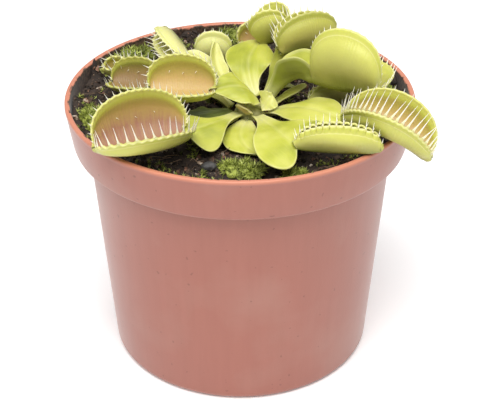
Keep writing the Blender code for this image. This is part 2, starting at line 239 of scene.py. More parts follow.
class Grower:
    """A Geometry Nodes tree with named inputs, run once on a mesh and applied."""

    SOCKETS = {"float": "NodeSocketFloat", "int": "NodeSocketInt", "Material": "NodeSocketMaterial"}

    def __init__(self, name: str, sizes: dict[str, object]) -> None:
        """Starts the tree.

        Args:
            name: The tree's name.
            sizes: Its inputs, with the value that a run gives each one.
        """
        self.sizes = sizes
        self.tree = bpy.data.node_groups.new(name, "GeometryNodeTree")
        face = self.tree.interface
        face.new_socket("Geometry", in_out="OUTPUT", socket_type="NodeSocketGeometry")
        face.new_socket("Geometry", in_out="INPUT", socket_type="NodeSocketGeometry")
        for label, size in sizes.items():
            face.new_socket(label, in_out="INPUT", socket_type=self.SOCKETS[type(size).__name__])
        self.given = add(self.tree, "NodeGroupInput").node.outputs

    def add(self, kind: str, links: dict | None = None, **settings) -> bpy.types.NodeSocket:
        """Adds a node to this tree and returns its output."""
        return add(self.tree, kind, links, **settings)

    def wobble(self, **links: float) -> bpy.types.NodeSocket:
        """A smooth random offset either way, from a noise with these inputs."""
        noise = self.add(NOISE, links).node.outputs["Color"]
        return self.add(VECTOR_MATH, {0: noise, 1: (0.5, 0.5, 0.5)}, operation="SUBTRACT")

    def strand(self, rings: object, sides: object, radius: object, bend: object) -> bpy.types.NodeSocket:
        """Makes a smooth tapered strand one unit long, standing on the origin.

        Args:
            rings: Points along it.
            sides: Points round it.
            radius: Its radius along its length.
            bend: How far each of its points is moved.

        Returns:
            The strand's mesh.
        """
        line = self.add("GeometryNodeCurvePrimitiveLine", {"Start": (0, 0, 0), "End": (0, 0, 1)})
        line = self.add("GeometryNodeResampleCurve", {"Curve": line, "Count": rings})
        line = self.add("GeometryNodeSetPosition", {"Geometry": line, "Offset": bend})
        ring = self.add(CIRCLE, {"Resolution": sides, "Radius": 1.0})
        links = {"Curve": line, "Profile Curve": ring, "Scale": radius, "Fill Caps": True}
        return self.add("GeometryNodeSetShadeSmooth", {0: self.add("GeometryNodeCurveToMesh", links)})

    def end(self, geometry: bpy.types.NodeSocket, finish: str, chosen: object = True) -> None:
        """Realizes the instances, gives them their material and closes the tree.

        Args:
            geometry: What the tree has made.
            finish: The name of the material's input.
            chosen: Which faces take the material.
        """
        real = self.add(REALIZE, {0: geometry})
        links = {"Geometry": real, "Selection": chosen, "Material": self.given[finish]}
        self.add("NodeGroupOutput", {0: self.add("GeometryNodeSetMaterial", links)})

    def grow(self, piece: bpy.types.Object, **changes: object) -> bpy.types.Object:
        """Runs the tree on a piece and keeps the result as its plain mesh.

        Args:
            piece: An object with the mesh that the tree starts from.
            changes: Inputs that differ from the tree's own sizes.

        Returns:
            The same object.
        """
        modifier = piece.modifiers.new(self.tree.name, "NODES")
        modifier.node_group = self.tree
        for socket in self.tree.interface.items_tree:
            if socket.in_out == "INPUT" and socket.name in self.sizes:
                modifier[socket.identifier] = changes.get(socket.name, self.sizes[socket.name])
        graph = bpy.context.evaluated_depsgraph_get()
        grown = bpy.data.meshes.new_from_object(piece.evaluated_get(graph))
        piece.modifiers.clear()
        piece.data = grown
        used = [material for material in grown.materials if material]
        number = np.array([used.index(material) if material else 0 for material in grown.materials])
        faces = np.empty(len(grown.polygons), np.int32)
        grown.polygons.foreach_get("material_index", faces)
        grown.materials.clear()
        for material in used:
            grown.materials.append(material)
        grown.polygons.foreach_set("material_index", number[faces])
        return piece


MATH = "ShaderNodeMath"
VECTOR_MATH = "ShaderNodeVectorMath"
NOISE = "ShaderNodeTexNoise"
RAMP = "ShaderNodeValToRGB"
RANGE = "ShaderNodeMapRange"
BLEND = {"kind": "ShaderNodeMix", "data_type": "RGBA"}
STORED = "GeometryNodeInputNamedAttribute"
RANDOM = "FunctionNodeRandomValue"
TURN = "FunctionNodeEulerToRotation"
REALIZE = "GeometryNodeRealizeInstances"
CIRCLE = "GeometryNodeCurvePrimitiveCircle"
INSTANCES = "GeometryNodeInstanceOnPoints"
COMBINE = "ShaderNodeCombineXYZ"


@dataclass(frozen=True)
class Finish:
    """What every finish has: the substance's name and its gloss."""

    name: str
    roughness: float
    ior: float = 1.5

    # How far a pattern takes the roughness down and up.
    SMOOTHER, ROUGHER = 0.07, 0.12
    # Strength of the relief, and its height in millimetres.
    RELIEF = (0.4, 0.2)
    # What the shader's other inputs are set to.
    SHADER = {}

    def made(self) -> bpy.types.Material:
        """Builds the finish as a material.

        Returns:
            The material, with its patterns linked.
        """
        skin = bpy.data.materials.new(self.name)
        skin.use_nodes = True
        tree = skin.node_tree
        make = functools.partial(add, tree)
        colour, height, gloss = self.patterns(make, make("ShaderNodeTexCoord").node.outputs["Object"])
        strength, distance = self.RELIEF
        bump = make("ShaderNodeBump", {"Strength": strength, "Distance": distance * MM, "Height": height})
        rough = {0: gloss, 3: self.roughness - self.SMOOTHER, 4: self.roughness + self.ROUGHER}
        shader = tree.nodes["Principled BSDF"].inputs
        linked = {"Base Color": colour, "Normal": bump, "Roughness": make(RANGE, rough)}
        for name, source in linked.items():
            tree.links.new(source, shader[name])
        for name, setting in {"IOR": self.ior, **self.SHADER}.items():
            shader[name].default_value = setting
        return skin

    def patterns(self, make: Callable, solid: bpy.types.NodeSocket) -> tuple:
        """Lays the substance's colours and unevenness.

        Args:
            make: Adds a node to the material.
            solid: The place on the piece, in metres.

        Returns:
            The sockets of the colour, the relief and the gloss.
        """
        raise NotImplementedError


@dataclass(frozen=True)
class LeafSkin(Finish):
    """Living leaf: wet green tissue under a thin film of wax.

    The wax gives a satin light, and the tissue scatters what enters it, so thin edges glow.
    light, middle and deep are a blade's greens, below is the green inside and under a trap, and
    olive is its darkest. pale is the foot and the edges, and ochre, tan and blood are the blush.
    """

    light: str = "cac965"
    middle: str = "b6b946"
    deep: str = "9aa034"
    below: str = "aca85c"
    pale: str = "e6e2a6"
    olive: str = "85883c"
    ochre: str = "b5a955"
    tan: str = "c2a368"
    blood: str = "916053"

    # Fine veins and pores.
    RELIEF = (0.45, 0.25)
    # Light goes about a millimetre under the skin.
    SHADER = {"Subsurface Weight": 0.2, "Subsurface Radius": (0.7, 0.9, 0.2), "Subsurface Scale": 1.5 * MM}

    def patterns(self, make: Callable, solid: bpy.types.NodeSocket) -> tuple:
        """Blade green, trap lining and trap outside, laid by the leaf's own marks.

        Args:
            make: Adds a node to the material.
            solid: The place on the piece, in metres.

        Returns:
            The sockets of the colour, the relief and the gloss.
        """
        names = ("leaf_flow", "leaf_tone", "leaf_part")
        marks = [make("ShaderNodeAttribute", attribute_name=name).node for name in names]
        flow, tone, part = (node.outputs["Vector"] for node in marks)
        pale, depth, lip = make("ShaderNodeSeparateXYZ", {0: tone}).node.outputs
        inner, trap, blush = make("ShaderNodeSeparateXYZ", {0: part}).node.outputs
        # Clouds 9 mm across, and lines that run with the veins.
        clouds = make(NOISE, {"Vector": solid, "Scale": 110.0, "Detail": 2.0})
        lines = make(NOISE, {"Vector": flow, "Scale": 1.0, "Detail": 2.0})
        green = make(RAMP, {0: clouds}, ((0.3, self.deep), (0.48, self.middle), (0.66, self.light)))
        veins = make(RANGE, {0: lines, 1: 0.5, 2: 0.62, 3: 0.0, 4: 0.18})
        green = make(links={0: veins, 6: green, 7: srgb(self.light)}, **BLEND)
        # The blade's lower face is duller, and is painted darker still in olive and deep green as painted
        # shade.
        under = make(MATH, {0: 1.0, 1: inner}, operation="SUBTRACT")
        underside_painted_shade = make(RAMP, {0: clouds}, ((0.35, self.olive), (0.6, self.deep)))
        green = make(links={0: under, 6: green, 7: underside_painted_shade}, **BLEND)
        # A trap's lining goes from olive at the hinge to light green at the margin. Some blush
        # turns it tan and ochre, and more turns it red near the hinge.
        uneven = make(MATH, {0: lines, 1: 0.14, 2: -0.07}, operation="MULTIPLY_ADD")
        lined = make(MATH, {0: depth, 1: uneven}, operation="ADD")
        warm = make(RANGE, {0: blush, 1: 0.0, 2: 0.35})
        red = make(RANGE, {0: blush, 1: 0.35, 2: 1.0})
        tanned = make(RAMP, {0: lined}, ((0.3, self.tan), (0.68, self.ochre), (0.95, self.light)))
        redder = ((0.3, self.blood), (0.6, self.tan), (0.8, self.ochre), (1.0, self.middle))
        flushed = make(RAMP, {0: lined}, redder)
        lining = make(RAMP, {0: lined}, ((0.05, self.olive), (0.4, self.below), (0.8, self.light)))
        lining = make(links={0: warm, 6: lining, 7: tanned}, **BLEND)
        lining = make(links={0: red, 6: lining, 7: flushed}, **BLEND)
        streaks = make(RANGE, {0: lines, 1: 0.42, 2: 0.62, 3: 0.0, 4: 0.16})
        lining = make(links={0: streaks, 6: lining, 7: srgb(self.ochre)}, **BLEND)
        # The margin keeps a green band with an uneven edge.
        band = make(RAMP, {0: lip}, ((0.2, self.middle), (0.75, self.light)))
        lipped = make(MATH, {0: uneven, 1: 0.8, 2: lip}, operation="MULTIPLY_ADD")
        lipped = make(RANGE, {0: lipped, 1: 0.02, 2: 0.5})
        lining = make(links={0: lipped, 6: lining, 7: band}, **BLEND)
        # The outside of a trap is clouded, with a pale line along the edge of its band.
        cloudy = make(MATH, {0: clouds, 1: 0.5, 2: -0.25}, operation="MULTIPLY_ADD")
        cloudy = make(MATH, {0: depth, 1: cloudy}, operation="ADD")
        outside = make(RAMP, {0: cloudy}, ((0.02, self.olive), (0.28, self.below), (0.75, self.light)))
        bands = (self.light, self.pale, self.light, self.middle, self.pale)
        rimmed = make(RAMP, {0: lip}, tuple(zip((0.25, 0.34, 0.45, 0.8, 0.95), bands)))
        banding = make(RANGE, {0: lip, 1: 0.2, 2: 0.34, 3: 0.0, 4: 0.55})
        outside = make(links={0: banding, 6: outside, 7: rimmed}, **BLEND)
        lining = make(links={0: under, 6: lining, 7: outside}, **BLEND)
        colour = make(links={0: trap, 6: green, 7: lining}, **BLEND)
        colour = make(links={0: pale, 6: colour, 7: srgb(self.pale)}, **BLEND)
        # Pores half a millimetre apart, over the veins.
        pores = make(NOISE, {"Vector": solid, "Scale": 1800.0, "Detail": 1.0})
        height = make(MATH, {0: pores, 1: 0.4, 2: lines}, operation="MULTIPLY_ADD")
        return colour, height, make(NOISE, {"Vector": solid, "Scale": 420.0})


@dataclass(frozen=True)
class Bristle(Finish):
    """Tooth tissue: a stiff, nearly clear hair, cream at the root and paler at the tip."""

    root: str = "e9e4b0"
    tip: str = "fbf5e6"

    # Light goes right through the hair.
    SHADER = {"Subsurface Weight": 0.3, "Subsurface Radius": (0.8, 0.8, 0.5), "Subsurface Scale": 0.6 * MM}

    def patterns(self, make: Callable, solid: bpy.types.NodeSocket) -> tuple:
        """Fades from the root's colour to the tip's.

        Args:
            make: Adds a node to the material.
            solid: The place on the piece, in metres.

        Returns:
            The sockets of the colour, the relief and the gloss.
        """
        height = make("ShaderNodeAttribute", attribute_name="tooth_height").node.outputs["Fac"]
        fine = make(NOISE, {"Vector": solid, "Scale": 1500.0})
        colour = make(RAMP, {0: height}, ((0.05, self.root), (0.45, self.tip)))
        return colour, fine, fine


@dataclass(frozen=True)
class MouldedPlastic(Finish):
    """Injection-moulded polypropylene, coloured terracotta right through.

    The mould's fine texture gives a satin light, the melt leaves faint upright flow streaks,
    and the thin lip lets light through, shown as a painted orange glow at its top. A painted
    shade darkens the wall just under the collar.
    """

    body: str = "a06354"
    light: str = "a46657"
    lip: str = "c98268"
    dust: str = "b79b8d"
    soil: str = "2c211b"
    # Dried soil smeared inside, and also the painted shade under the collar.
    dried: str = "6b5443"
    rim_height: float = 72.5
    lip_height: float = 71.9
    ledge_height: float = 61.0

    # The mould's spark texture.
    RELIEF = (0.25, 0.08)
    # The pale bloom that handled plastic shows at a slant.
    SHADER = {"Sheen Weight": 0.3, "Sheen Roughness": 0.35}

    def patterns(self, make: Callable, solid: bpy.types.NodeSocket) -> tuple:
        """Flow streaks, painted lip glow, dust, painted shade under the collar, soil inside and small
        specks.

        Args:
            make: Adds a node to the material.
            solid: The place on the piece, in metres.

        Returns:
            The sockets of the colour, the relief and the gloss.
        """
        z = make("ShaderNodeSeparateXYZ", {0: solid}).node.outputs["Z"]
        # Streaks 2 mm wide that run up the wall for 60 mm.
        upright = make("ShaderNodeMapping", {"Vector": solid, "Scale": (500.0, 500.0, 16.0)})
        streaks = make(NOISE, {"Vector": upright, "Scale": 1.0, "Detail": 2.0})
        colour = make(RAMP, {0: streaks}, ((0.3, self.body), (0.75, self.light)))
        clouds = make(NOISE, {"Vector": solid, "Scale": 45.0, "Detail": 4.0})
        dusty = make(RANGE, {0: clouds, 1: 0.5, 2: 0.75, 3: 0.0, 4: 0.22})
        # Round specks 0.3 mm across, where the noise peaks.
        spots = make(NOISE, {"Vector": solid, "Scale": 900.0, "Detail": 0.0})
        spots = make(RANGE, {0: spots, 1: 0.81, 2: 0.85, 3: 0.0, 4: 0.3})
        # Painted glow: the top of the thin lip is painted more orange, for the light that comes through it.
        glow = make(RANGE, {0: z, 1: (self.lip_height - 0.5) * MM, 2: (self.lip_height + 0.3) * MM})
        # Painted shade in the corner under the collar, 3.5 mm deep, in the dried soil's brown.
        painted_shade_fade = {0: z, 1: (self.ledge_height - 3.5) * MM, 2: self.ledge_height * MM, 3: 0.0, 4: 0.4}
        corner = make(RANGE, painted_shade_fade)
        below = make(MATH, {0: z, 1: (self.ledge_height + 0.1) * MM}, operation="LESS_THAN")
        corner = make(MATH, {0: corner, 1: below}, operation="MULTIPLY")
        layers = ((dusty, self.dust), (spots, self.soil), (glow, self.lip), (corner, self.dried))
        for share, shade in layers:
            colour = make(links={0: share, 6: colour, 7: srgb(shade)}, **BLEND)
        # Crumbs of soil stuck to the inside, thickest just above the bed.
        inside = make("ShaderNodeAttribute", attribute_name="wall_inside").node.outputs["Fac"]
        smear = make(NOISE, {"Vector": solid, "Scale": 260.0, "Detail": 5.0, "Roughness": 0.7})
        low = {0: z, 1: self.rim_height * MM, 2: (self.rim_height - 1.3) * MM, 3: -0.08, 4: 0.4}
        low = make(RANGE, low)
        smear = make(MATH, {0: smear, 1: low}, operation="ADD")
        smear = make(RANGE, {0: smear, 1: 0.5, 2: 0.58})
        smear = make(MATH, {0: smear, 1: inside}, operation="MULTIPLY")
        crumbs = make(NOISE, {"Vector": solid, "Scale": 1400.0, "Detail": 3.0})
        crumbs = make(RAMP, {0: crumbs}, ((0.35, self.soil), (0.75, self.dried)))
        colour = make(links={0: smear, 6: colour, 7: crumbs}, **BLEND)
        grit = make(NOISE, {"Vector": solid, "Scale": 2500.0, "Detail": 1.0})
        return colour, grit, clouds


@dataclass(frozen=True)
class Crumbly(Finish):
    """Loose matter in pieces: each piece takes its own colour, and clouds vary it."""

    colours: tuple[tuple[float, str], ...] = ()
    grain: float = 0.6

    # A rough broken surface.
    RELIEF = (0.8, 0.4)

    def patterns(self, make: Callable, solid: bpy.types.NodeSocket) -> tuple:
        """Colours by each piece's own number.

        Args:
            make: Adds a node to the material.
            solid: The place on the piece, in metres.

        Returns:
            The sockets of the colour, the relief and the gloss.
        """
        own = make("ShaderNodeAttribute", attribute_name="piece_shade").node.outputs["Fac"]
        clouds = make(NOISE, {"Vector": solid, "Scale": 1 / (self.grain * MM), "Detail": 4.0})
        shade = make(MATH, {0: clouds, 1: 0.3, 2: -0.15}, operation="MULTIPLY_ADD")
        shade = make(MATH, {0: own, 1: shade}, operation="ADD")
        return make(RAMP, {0: shade}, self.colours), clouds, clouds


def colours_at(places: tuple[float, ...], *codes: str) -> tuple[tuple[float, str], ...]:
    """Pairs a ramp's places with its colours."""
    return tuple(zip(places, codes))


EVENLY = (0.0, 0.5, 1.0)
SOIL_PLACES = (0.0, 0.5, 0.78, 0.9, 0.97, 1.0)
SOIL_COLOURS = colours_at(SOIL_PLACES, "201915", "3d3027", "594738", "7d5440", "9a8671", "cdbfae")
MOSS_COLOURS = colours_at((0.0, 0.35, 0.7, 1.0), "555c26", "8b953c", "b3bd55", "d3da80")
PLASTIC = MouldedPlastic("moulded_terracotta_polypropylene", 0.42)
PEAT = Crumbly("loose_damp_peat", 0.85, colours=SOIL_COLOURS)
TWIG = Crumbly("dry_plant_fibre", 0.8, colours=colours_at(EVENLY, "2a1d15", "5a4232", "9a8064"))
MOSS_LEAF = Crumbly("living_moss", 0.6, colours=MOSS_COLOURS)
BULB_COLOURS = colours_at(EVENLY, "8f8a4a", "b9bb63", "dcd79a")
BULB = Crumbly("pale_bulb_scale", 0.5, colours=BULB_COLOURS, grain=2.0)
SLATE_COLOURS = colours_at(EVENLY, "2b2a2a", "3f3d3c", "605d5b")
DARK_STONE = Crumbly("smooth_slate_pebble", 0.55, colours=SLATE_COLOURS, grain=1.5)
GRIT_COLOURS = colours_at(EVENLY, "7d6f66", "b0a196", "d9cdc2")
PALE_STONE = Crumbly("pale_grit_pebble", 0.7, colours=GRIT_COLOURS, grain=1.2)
TOOTH = Bristle("clear_leaf_bristle", 0.35)


class Age(Enum):
    """How old a leaf is, and for some leaves a painted shade: the record's finish for it, and its skin."""

    YOUNG = ("leaf_pale", LeafSkin("waxy_young_leaf", 0.36, 1.42, "d6d589", "cbc973", "b7b760", "cdc784"))
    GROWN = ("leaf_green", LeafSkin("waxy_grown_leaf", 0.36, 1.42))
    BUD = ("leaf_pale", LeafSkin("waxy_leaf_bud", 0.36, 1.42, "ddd29a", "d3c088", "bfa070", "d6cf98"))
    # Painted shade: a grown leaf's skin in much darker greens, for leaves that lie in deep shade.
    SHADED = ("leaf_olive", LeafSkin("waxy_leaf_in_painted_shade", 0.42, 1.42, "6f7a34", "5a6629", "475220",
                                     pale="7d8440"))
    # An old leaf's olive skin, with its tan, ochre and pale darkened further as painted shade.
    OLD = ("leaf_olive", LeafSkin("waxy_old_leaf", 0.4, 1.42, "b3b250", "969a3c", "767d2e", "b5ad5e",
                                  pale="bdb87a", tan="94784a", ochre="918a42", blood="8a6a50"))


@functools.cache
def material_of(finish: Finish) -> bpy.types.Material:
    """The finish's one material, built when it is first asked for."""
    return finish.made()


@dataclass(frozen=True)
class Teeth:
    """The row of bristles on one lobe's margin.

    length is the longest one, inward how far they lean over the mouth, lean how far they lean
    towards the leaf's tip, gap the space between their roots, and scallop the depth of the
    margin's bays between them.
    """

    length: float
    inward: float = 0.0
    lean: float = 0.0
    gap: float = 2.1
    scallop: float = 0.5


@dataclass(frozen=True)
class Leaf:
    """One leaf, from its foot in the crown to the tip of its blade or trap.

    base, bend, joint and tip are points along its midrib. roll and face turn the blade and the
    trap to the right, looking outwards. width, peak and foot shape the blade, and shoulder is how
    far one of its wings, the right one when it is below 0, runs on past the joint; depth, spread,
    bulge, sag and fan shape the trap's two lobes. plus and minus are the lobes' teeth.
    """

    node: str
    base: tuple[float, float, float]
    bend: tuple[float, float, float]
    joint: tuple[float, float, float]
    tip: tuple[float, float, float] | None = None
    width: float = 5.0
    peak: float = 0.62
    foot: float = 2.2
    roll: float = 0.0
    cup: float = -0.15
    ripple: float = 0.25
    shoulder: float = 0.0
    depth: float = 6.0
    face: float = 0.0
    spread: float = 20.0
    bulge: float = 0.24
    sag: float = 0.6
    fan: float = 0.3
    age: Age = Age.GROWN
    blush: float = 0.2
    plus: Teeth = Teeth(2.4)
    minus: Teeth = Teeth(2.4)

    BLADE_ROWS = 44
    TRAP_ROWS = 110
    COLUMNS = 36
    # Widths of the neck behind a trap, of a tip, and of the coloured band along a trap's margin.
    NECK = 1.6
    POINT = 0.9
    LIP = 2.4
    # Depth and half width of the groove along the midrib.
    GROOVE = (0.35, 0.8)
    # Waves along a blade's edge, and how far an open trap's margin bends outwards.
    WAVES = 2.2
    FLARE = 0.12
    # How much closer the teeth stand near the joint.
    CROWD = 1.25
    # Where the three trigger hairs of a lobe stand along and across it, their length and width,
    # and the spread from which they show.
    TRIGGERS = ((0.38, 0.5, 0.62), (0.5, 0.42, 0.5), 1.4, 0.14)
    BARED = 15

    @property
    def gapes(self) -> bool:
        """Whether the trap's lobes stand apart."""
        return self.spread > 5

    def blade(self, share: np.ndarray, across: np.ndarray) -> np.ndarray:
        """Points on the blade's upper face.

        Args:
            share: Places along the midrib, 0 to 1, as a column.
            across: Places across, -1 to 1, as a row.

        Returns:
            A grid of points.
        """
        base, bend, joint = (np.array(point) for point in (self.base, self.bend, self.joint))
        # A smooth bow through the three points, with the directions along, across and up.
        control = 2 * bend - (base + joint) / 2
        at = share[..., None]
        point = (1 - at) ** 2 * base + 2 * at * (1 - at) * control + at**2 * joint
        ahead = unit((1 - at) * (control - base) + at * (joint - control))
        side = np.cross((0, 0, 1), unit((joint - base) * (1, 1, 0)))
        side = unit(side - ahead * (ahead * side).sum(-1, keepdims=True))
        up = turned(np.cross(ahead, side), ahead, self.roll * share)
        side = turned(side, ahead, self.roll * share)
        # Half the width, which swells from the foot and narrows to the neck or the tip.
        narrow = (self.NECK if self.tip else self.POINT) / 2
        foot = np.maximum(narrow, self.foot / 2 * (1 - share) ** 2)
        wing = np.maximum(np.sin(math.pi * share ** (math.log(0.5) / math.log(self.peak))), 0)
        half = foot + (self.width / 2 - narrow) * wing**0.85
        wave = self.ripple * np.sin(2 * math.pi * self.WAVES * share + 1)
        wave = wave + 0.5 * self.ripple * np.sin(23 * share + 4 * np.sign(across))
        lift = self.cup * half * across**2 + wave * abs(across) ** 3 * np.minimum(1, half / 3)
        deep, wide = self.GROOVE
        groove = deep * np.exp(-((half * across / wide) ** 2)) * np.minimum(1, half / 2)
        past = np.maximum(across * self.shoulder, 0) * abs(across) * half * share**3
        point = point + ahead * past[..., None] + up * (lift - groove)[..., None]
        return point + side * (half * across)[..., None]

    def trap(self, share: np.ndarray, across: np.ndarray) -> np.ndarray:
        """Points on the trap's inner face.

        Args:
            share: Places from the joint to the tip, 0 to 1, as a column.
            across: Places from one margin to the other, -1 to 1, as a row.

        Returns:
            A grid of points.
        """
        joint, tip = np.array(self.joint), np.array(self.tip)
        ahead = unit(tip - joint)
        mouth = turned(unit(np.array((0, 0, 1)) - ahead * ahead[2]), ahead, self.face)
        side = np.cross(mouth, ahead)
        turn = math.pi * share
        along = ((1 - np.cos(turn)) / 2)[..., None]
        reach = np.maximum(self.depth * np.sin(turn), self.POINT / 2)[..., None]
        hinge = joint + (tip - joint) * along - mouth * self.sag * 4 * along * (1 - along)
        out, left = abs(across)[..., None], np.sign(across)[..., None]
        wide = math.radians(self.spread)
        chord = mouth * math.cos(wide) + side * left * math.sin(wide)
        bow = side * left * math.cos(wide) - mouth * math.sin(wide)
        flare = self.FLARE * eased(out, 0.76, 1.04) * self.gapes
        lobe = chord * out + bow * (4 * self.bulge * out * (1 - out) + flare)
        return hinge + (lobe - ahead * self.fan * out * np.cos(turn)[..., None]) * reach

    def roots(self, sign: int) -> np.ndarray:
        """Where one lobe's teeth stand along the trap, 0 to 1.

        Args:
            sign: 1 or -1, for the lobe.

        Returns:
            The places, a little closer together near the joint.
        """
        share = np.linspace(0.055, 0.96, 500)
        margin = self.trap(share[:, None], np.array([[float(sign)]]))[:, 0]
        run = np.concatenate([[0], np.cumsum(np.linalg.norm(np.diff(margin, axis=0), axis=1))])
        gap = (self.plus if sign > 0 else self.minus).gap
        places = np.linspace(0, 1, max(5, round(run[-1] / gap))) ** self.CROWD
        return np.interp(places * run[-1], run, share)

    def stands(self, share: np.ndarray, out: np.ndarray, sign: int) -> tuple[np.ndarray, ...]:
        """Places on one lobe, with the directions there.

        Args:
            share: Places along the trap.
            out: Places from the hinge to the margin, 0 to 1.
            sign: 1 or -1, for the lobe.

        Returns:
            The points, and the directions along, away from the hinge and into the trap.
        """
        across = np.array(out * sign)[:, None]
        here = self.trap(share[:, None], across)[:, 0]
        along = unit(self.trap(share[:, None] + 1e-3, across)[:, 0] - here)
        away = unit(here - self.trap(share[:, None], across * 0.97)[:, 0])
        return here, along, away, unit(np.cross(along, away) * sign)

    def bristles(self, sign: int, seed: int) -> np.ndarray:
        """One lobe's teeth and trigger hairs.

        Args:
            sign: 1 or -1, for the lobe.
            seed: Seed of their small differences.

        Returns:
            A row for each, of its root, aim, side, length and width.
        """
        teeth = self.plus if sign > 0 else self.minus
        chance = np.random.default_rng(seed)
        share = self.roots(sign)
        count = len(share)
        here, along, away, inner = self.stands(share, np.ones(count), sign)
        # Teeth are about two thirds as long at both ends of the row.
        fade = 0.5 + 0.5 * np.sin(math.pi * np.linspace(0.06, 0.94, count)) ** 0.7
        length = teeth.length * fade * chance.normal(1, 0.07, count)
        width = np.full(count, np.clip(0.18 + 0.026 * teeth.length, 0.2, 0.34))
        aim = away + inner * chance.normal(teeth.inward, 0.05, (count, 1))
        aim = unit(aim + along * chance.normal(teeth.lean, 0.06, (count, 1)))
        rows = [np.column_stack([here - inner * 0.25 - away * 0.15, aim, -sign * along, length, width])]
        if self.spread > self.BARED:
            share, out, tall, thick = self.TRIGGERS
            here, along, _, inner = self.stands(np.array(share), np.array(out), sign)
            sizes = np.full((3, 2), (tall, thick))
            rows.append(np.column_stack([here - inner * 0.1, inner, along, sizes]))
        return np.concatenate(rows)

    def columns(self) -> np.ndarray:
        """Places across the leaf, -1 to 1, closer together towards the margins."""
        line = np.linspace(-1, 1, self.COLUMNS + 1)
        return 0.55 * line + 0.45 * np.sin(line * math.pi / 2)

    def blade_sheet(self) -> tuple[np.ndarray, dict[str, np.ndarray]]:
        """The blade's upper face as a grid, with what its skin needs to know.

        Returns:
            The grid of points, and for each point its marks and its thickness.
        """
        across = self.columns()
        share = np.linspace(0, 1, self.BLADE_ROWS + 1)
        if not self.tip:
            # Rows crowd towards a bare blade's rounded tip.
            share = np.sin(share * math.pi / 2)
        grid = self.blade(share[:, None], across[None])
        width = np.linalg.norm(grid[:, -1] - grid[:, 0], axis=-1)[:, None] / 2
        out = abs(across)[None] * np.ones((len(share), 1))
        rim = width * (1 - out)
        # The edge is thin and the midrib thick. The foot, the midrib and the very edge are pale.
        # The veins spread from the foot.
        marks = {
            "thick": 0.32 + 0.5 * eased(rim, 0, 2.5) + 0.75 * np.exp(-((width * across / 0.7) ** 2)),
            "pale": np.clip(0.6 * eased(share[:, None], 0.35, 0.0) + 0.15 * eased(out, 0.15, 0.0)
                            + 0.35 * eased(rim, 0.45, 0.15), 0, 0.7),
            "depth": out,
            "lip": np.zeros_like(out),
            "trap": np.zeros_like(out),
            "flow": np.stack([width * across * 1.1, share[:, None] * 2.5 + out, np.sign(across) * out], -1),
        }
        return grid, marks

    def trap_sheet(self, end: np.ndarray) -> tuple[np.ndarray, dict[str, np.ndarray]]:
        """The trap's inner face as a grid, with what its skin needs to know.

        Args:
            end: The blade's last row of points, which the trap goes on from.

        Returns:
            The grid of points, and for each point its marks and its thickness.
        """
        across = self.columns()
        share = np.linspace(0, 1, self.TRAP_ROWS + 1)[1:]
        lobes = self.trap(share[:, None], across[None])
        size = np.linalg.norm(lobes[:, -1] - lobes[:, self.COLUMNS // 2], axis=-1)[:, None]
        out = abs(across)[None] * np.ones((len(share), 1))
        rim = size * (1 - out)
        outward = unit(np.gradient(lobes, axis=1)) * np.sign(across)[None, :, None]
        inward = unit(np.cross(np.gradient(lobes, axis=0), np.gradient(lobes, axis=1)))
        for sign in (1, -1):
            roots = self.roots(sign)
            teeth = self.plus if sign > 0 else self.minus
            wave = np.cos(2 * math.pi * np.interp(share, roots, np.arange(len(roots))))
            ends = eased(share, 0.04, 0.1) * eased(share, 0.98, 0.93)
            near = eased(rim, 1.4, 0.0) * eased(size, 1.5, 4.0) * (np.sign(across) == sign)
            bay = teeth.scallop * ((wave * ends)[:, None] * near)[..., None]
            # A shut trap's bays gape sideways, so its seam is a chain of small holes.
            lobes = lobes + (outward * 0.5 * bay if self.gapes else inward * (bay - 0.35 * near[..., None]))
        # The hinge end is drawn together to meet the blade's end.
        neck = eased(share, 0.11 if self.gapes else 0.05, 0.0)[:, None, None]
        narrow = end[None] - np.array(self.joint) + lobes[:, self.COLUMNS // 2][:, None]
        lobes = lobes * (1 - neck) + narrow * neck
        lip = np.clip(1 - rim / np.minimum(self.LIP, 0.35 * size), 0, 1) * eased(size, 1.0, 3.0)
        # The lobes are thicker than the blade, with a rounded lip, and their veins run from the
        # hinge to the margin.
        marks = {
            "thick": (0.5 + 0.35 * eased(rim, 0.5, 4.0) + 0.12 * np.exp(-(((rim - 0.5) / 0.5) ** 2))
                      + 0.7 * np.exp(-((size * across / 0.9) ** 2))),
            "pale": 0.15 * eased(rim, 0.3, 0.1) + 0.25 * eased(share[:, None], 0.1, 0.0),
            "depth": out,
            "lip": lip,
            "trap": eased(share, 0.0, 0.07)[:, None] * np.ones_like(out),
            "flow": np.stack([share[:, None] * 78 + 0 * out, out * 1.6, np.sign(across) + 4 + 0 * out], -1),
        }
        return lobes, marks

    def sheet(self) -> tuple[np.ndarray, dict[str, np.ndarray]]:
        """The leaf's upper and inner face as one grid, with what its skin needs to know.

        Returns:
            The grid of points, and for each point its marks and its thickness.
        """
        grid, marks = self.blade_sheet()
        if not self.tip:
            return grid, marks
        lobes, lobed = self.trap_sheet(grid[-1])
        marks = {name: np.concatenate([marks[name], lobed[name]]) for name in marks}
        return np.concatenate([grid, lobes]), marks

    def build(self, teeth: Grower, seed: int) -> bpy.types.Object:
        """Grows the leaf as one closed piece, teeth and all.

        Args:
            teeth: The tree that grows a tooth on each root.
            seed: Seed of the teeth's small differences.

        Returns:
            The finished piece.
        """
